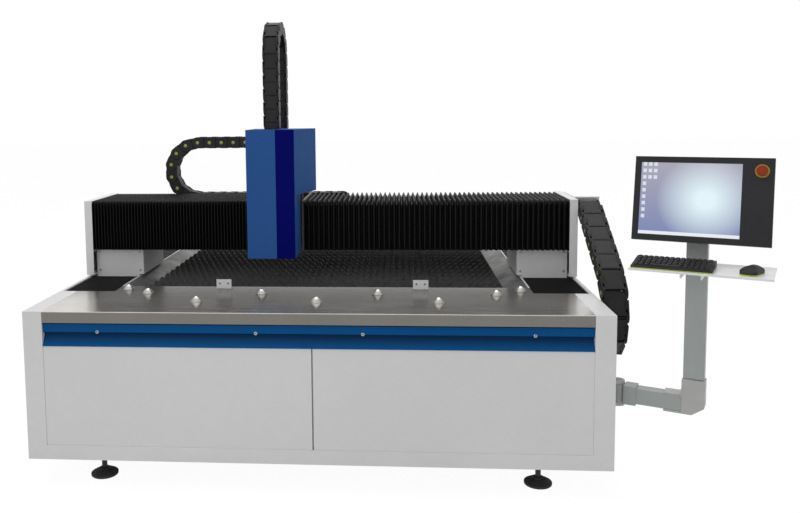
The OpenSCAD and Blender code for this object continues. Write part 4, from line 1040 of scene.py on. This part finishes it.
def keycap(wide):
    """A tapered keycap of that width, standing on z = 0."""
    base = [(0, 0), (wide, 0), (wide, 19.4), (0, 19.4)]
    crown = [(1.8, 2.2), (wide - 1.8, 2.2), (wide - 1.8, 17.4), (1.8, 17.4)]
    verts = [(x, y, 0) for x, y in base] + [(x, y, 8.6) for x, y in crown]
    faces = [(3, 2, 1, 0), (4, 5, 6, 7)] + [(i, (i + 1) % 4, (i + 1) % 4 + 4, i + 4) for i in range(4)]
    return solid_of([(verts, faces)], 1.0)


first_row, row_step, key_step = 10, 22, 0.0196
full_row, lowest_row = [(17.0, 14, 8.0)], [(17.0, 3, 8.0), (113.0, 1, 66.8), (17.0, 5, 184.4)]
all_keys = bmesh.new()
for row in range(6):
    up = board_front + row * board_rise / board_deep * row_step
    for wide, count, first in full_row if row else lowest_row:
        start = (first / 1000, (first_row + row * row_step) / 1000, up / 1000)
        all_keys.from_mesh(rows_of(keycap(wide), count, start, (key_step, 0, 0), key_black))
keys = bpy.data.meshes.new("keys")
all_keys.to_mesh(keys)
all_keys.free()
keys.transform(board)
finished(keys, "keycaps", key_black, "console")
mouse_strip = 0.005


def split_foot(work):
    """Cuts a ring round the mouse a little above its foot."""
    foot = min(v.co.z for v in work.verts) + mouse_strip
    bmesh.ops.bisect_plane(work, geom=work.verts[:] + work.edges[:] + work.faces[:], plane_co=(0, 0, foot),
                           plane_no=(0, 0, 1))


mouse_shell = soft_edged("mouse", 1.6, 60, split_foot)
finished(mouse_shell, "mouse_shell", key_black, "console", ("mouse",), 0)
mouse_shell.materials.append(lime)
foot = min(v.co.z for v in mouse_shell.vertices) + mouse_strip + 0.0002
for face in mouse_shell.polygons:
    face.material_index = 1 if face.center.z < foot else 0

# Monitor: a black moulded case with a deep right border for the switch.
# It leans back on the column's head, and a glass panel is let into its front.
monitor_case = moulded("monitor_moulding", (0.0085, 0.009, 0.0105), (0.013, 0.0135, 0.0155), (0.4, 0.55),
                       (9.0, 4.0), (1500.0, 2.0), (0.2, 0.0003), 0.25)
dressed("monitor", 3.0, monitor_case, "console")

# Screen: a lit glass panel let into the case.
# It shows a plain pale desk with a soft glow, a bar along its foot and columns of blank tiles.
case_frame = console @ Matrix.Translation((0.0655, -0.1, 1.091)) @ Matrix.Rotation(math.radians(-12), 4, "X")
screen_left, screen_right, screen_foot, screen_top = 24.2, 387.8, 24.2, 310.8
panel = solid_of([block((screen_left, screen_right), (-47.2, -45.2), (screen_foot, screen_top))], 0)
coords = panel.uv_layers.new(name="picture")
for corner in panel.loops:
    place = panel.vertices[corner.vertex_index].co * 1000
    coords.data[corner.index].uv = ((place.x - screen_left) / (screen_right - screen_left),
                                    (place.z - screen_foot) / (screen_top - screen_foot))
panel.transform(case_frame)
glass, tree, shader, _ = bare_material("lit_screen")
picture = tree.nodes.new("ShaderNodeUVMap")
picture.uv_map = "picture"
across, upward, _ = axes_of(tree, picture.outputs["UV"])


def both(a, b):
    """Where two masks of the screen meet."""
    return sums(tree, "MULTIPLY", a, b)


def past(value, edge):
    """The part of the screen past an edge."""
    return sums(tree, "GREATER_THAN", value, edge)


def before(value, edge):
    """The part of the screen before an edge."""
    return sums(tree, "LESS_THAN", value, edge)


def stripes(value, many, gap):
    """Even stripes with a gap before each."""
    return past(sums(tree, "FRACT", sums(tree, "MULTIPLY", value, many)), gap)


aside = sums(tree, "MULTIPLY", sums(tree, "SUBTRACT", across, 0.66), 1.25)
rise = sums(tree, "SUBTRACT", upward, 0.5)
reach = sums(tree, "SQRT", sums(tree, "ADD", both(aside, aside), both(rise, rise)))
desk = mixed(tree, upward, (0.17, 0.22, 0.44), (0.38, 0.37, 0.46))
lit = mixed(tree, between(tree, reach, 0.10, 0.62, 1.0, 0.0), desk, (0.78, 0.93, 0.98))
bar = before(upward, 0.045)
three_columns = both(before(across, 0.165), past(upward, 0.73))
columns = both(sums(tree, "MAXIMUM", before(across, 0.055), three_columns), stripes(across, 18.2, 0.35))
tiles = both(both(columns, both(stripes(upward, 11.0, 0.45), past(upward, 0.19))), 0.8)
shown = mixed(tree, sums(tree, "MAXIMUM", bar, tiles), lit, (0.82, 0.85, 0.90))
tree.links.new(shown, shader.inputs["Emission Color"])
for socket, value in (("Base Color", (0.02, 0.02, 0.022, 1)), ("Roughness", 0.16), ("Specular IOR Level", 0.3),
                      ("Emission Strength", 0.92)):
    shader.inputs[socket].default_value = value
finished(panel, "screen_panel", glass, "console", ("screen",), 0)

# Emergency stop: a red mushroom button in a yellow ring, both moulded plastic.
# The ring is clamped in the monitor's border, and the button goes in on a spring.
ring_yellow = painted("ring_yellow", (0.50, 0.31, 0.03), (0.42, 0.26, 0.03), 0.3, 1400.0, 0.0)
stop_red = painted("mushroom_red", (0.36, 0.050, 0.010), (0.29, 0.040, 0.008), 0.35, 1600.0, 0.0, 0.12)
dressed("estop_ring", 0.8, ring_yellow, "console", 40)
dressed("estop_button", 1.0, stop_red, "estop", 50)
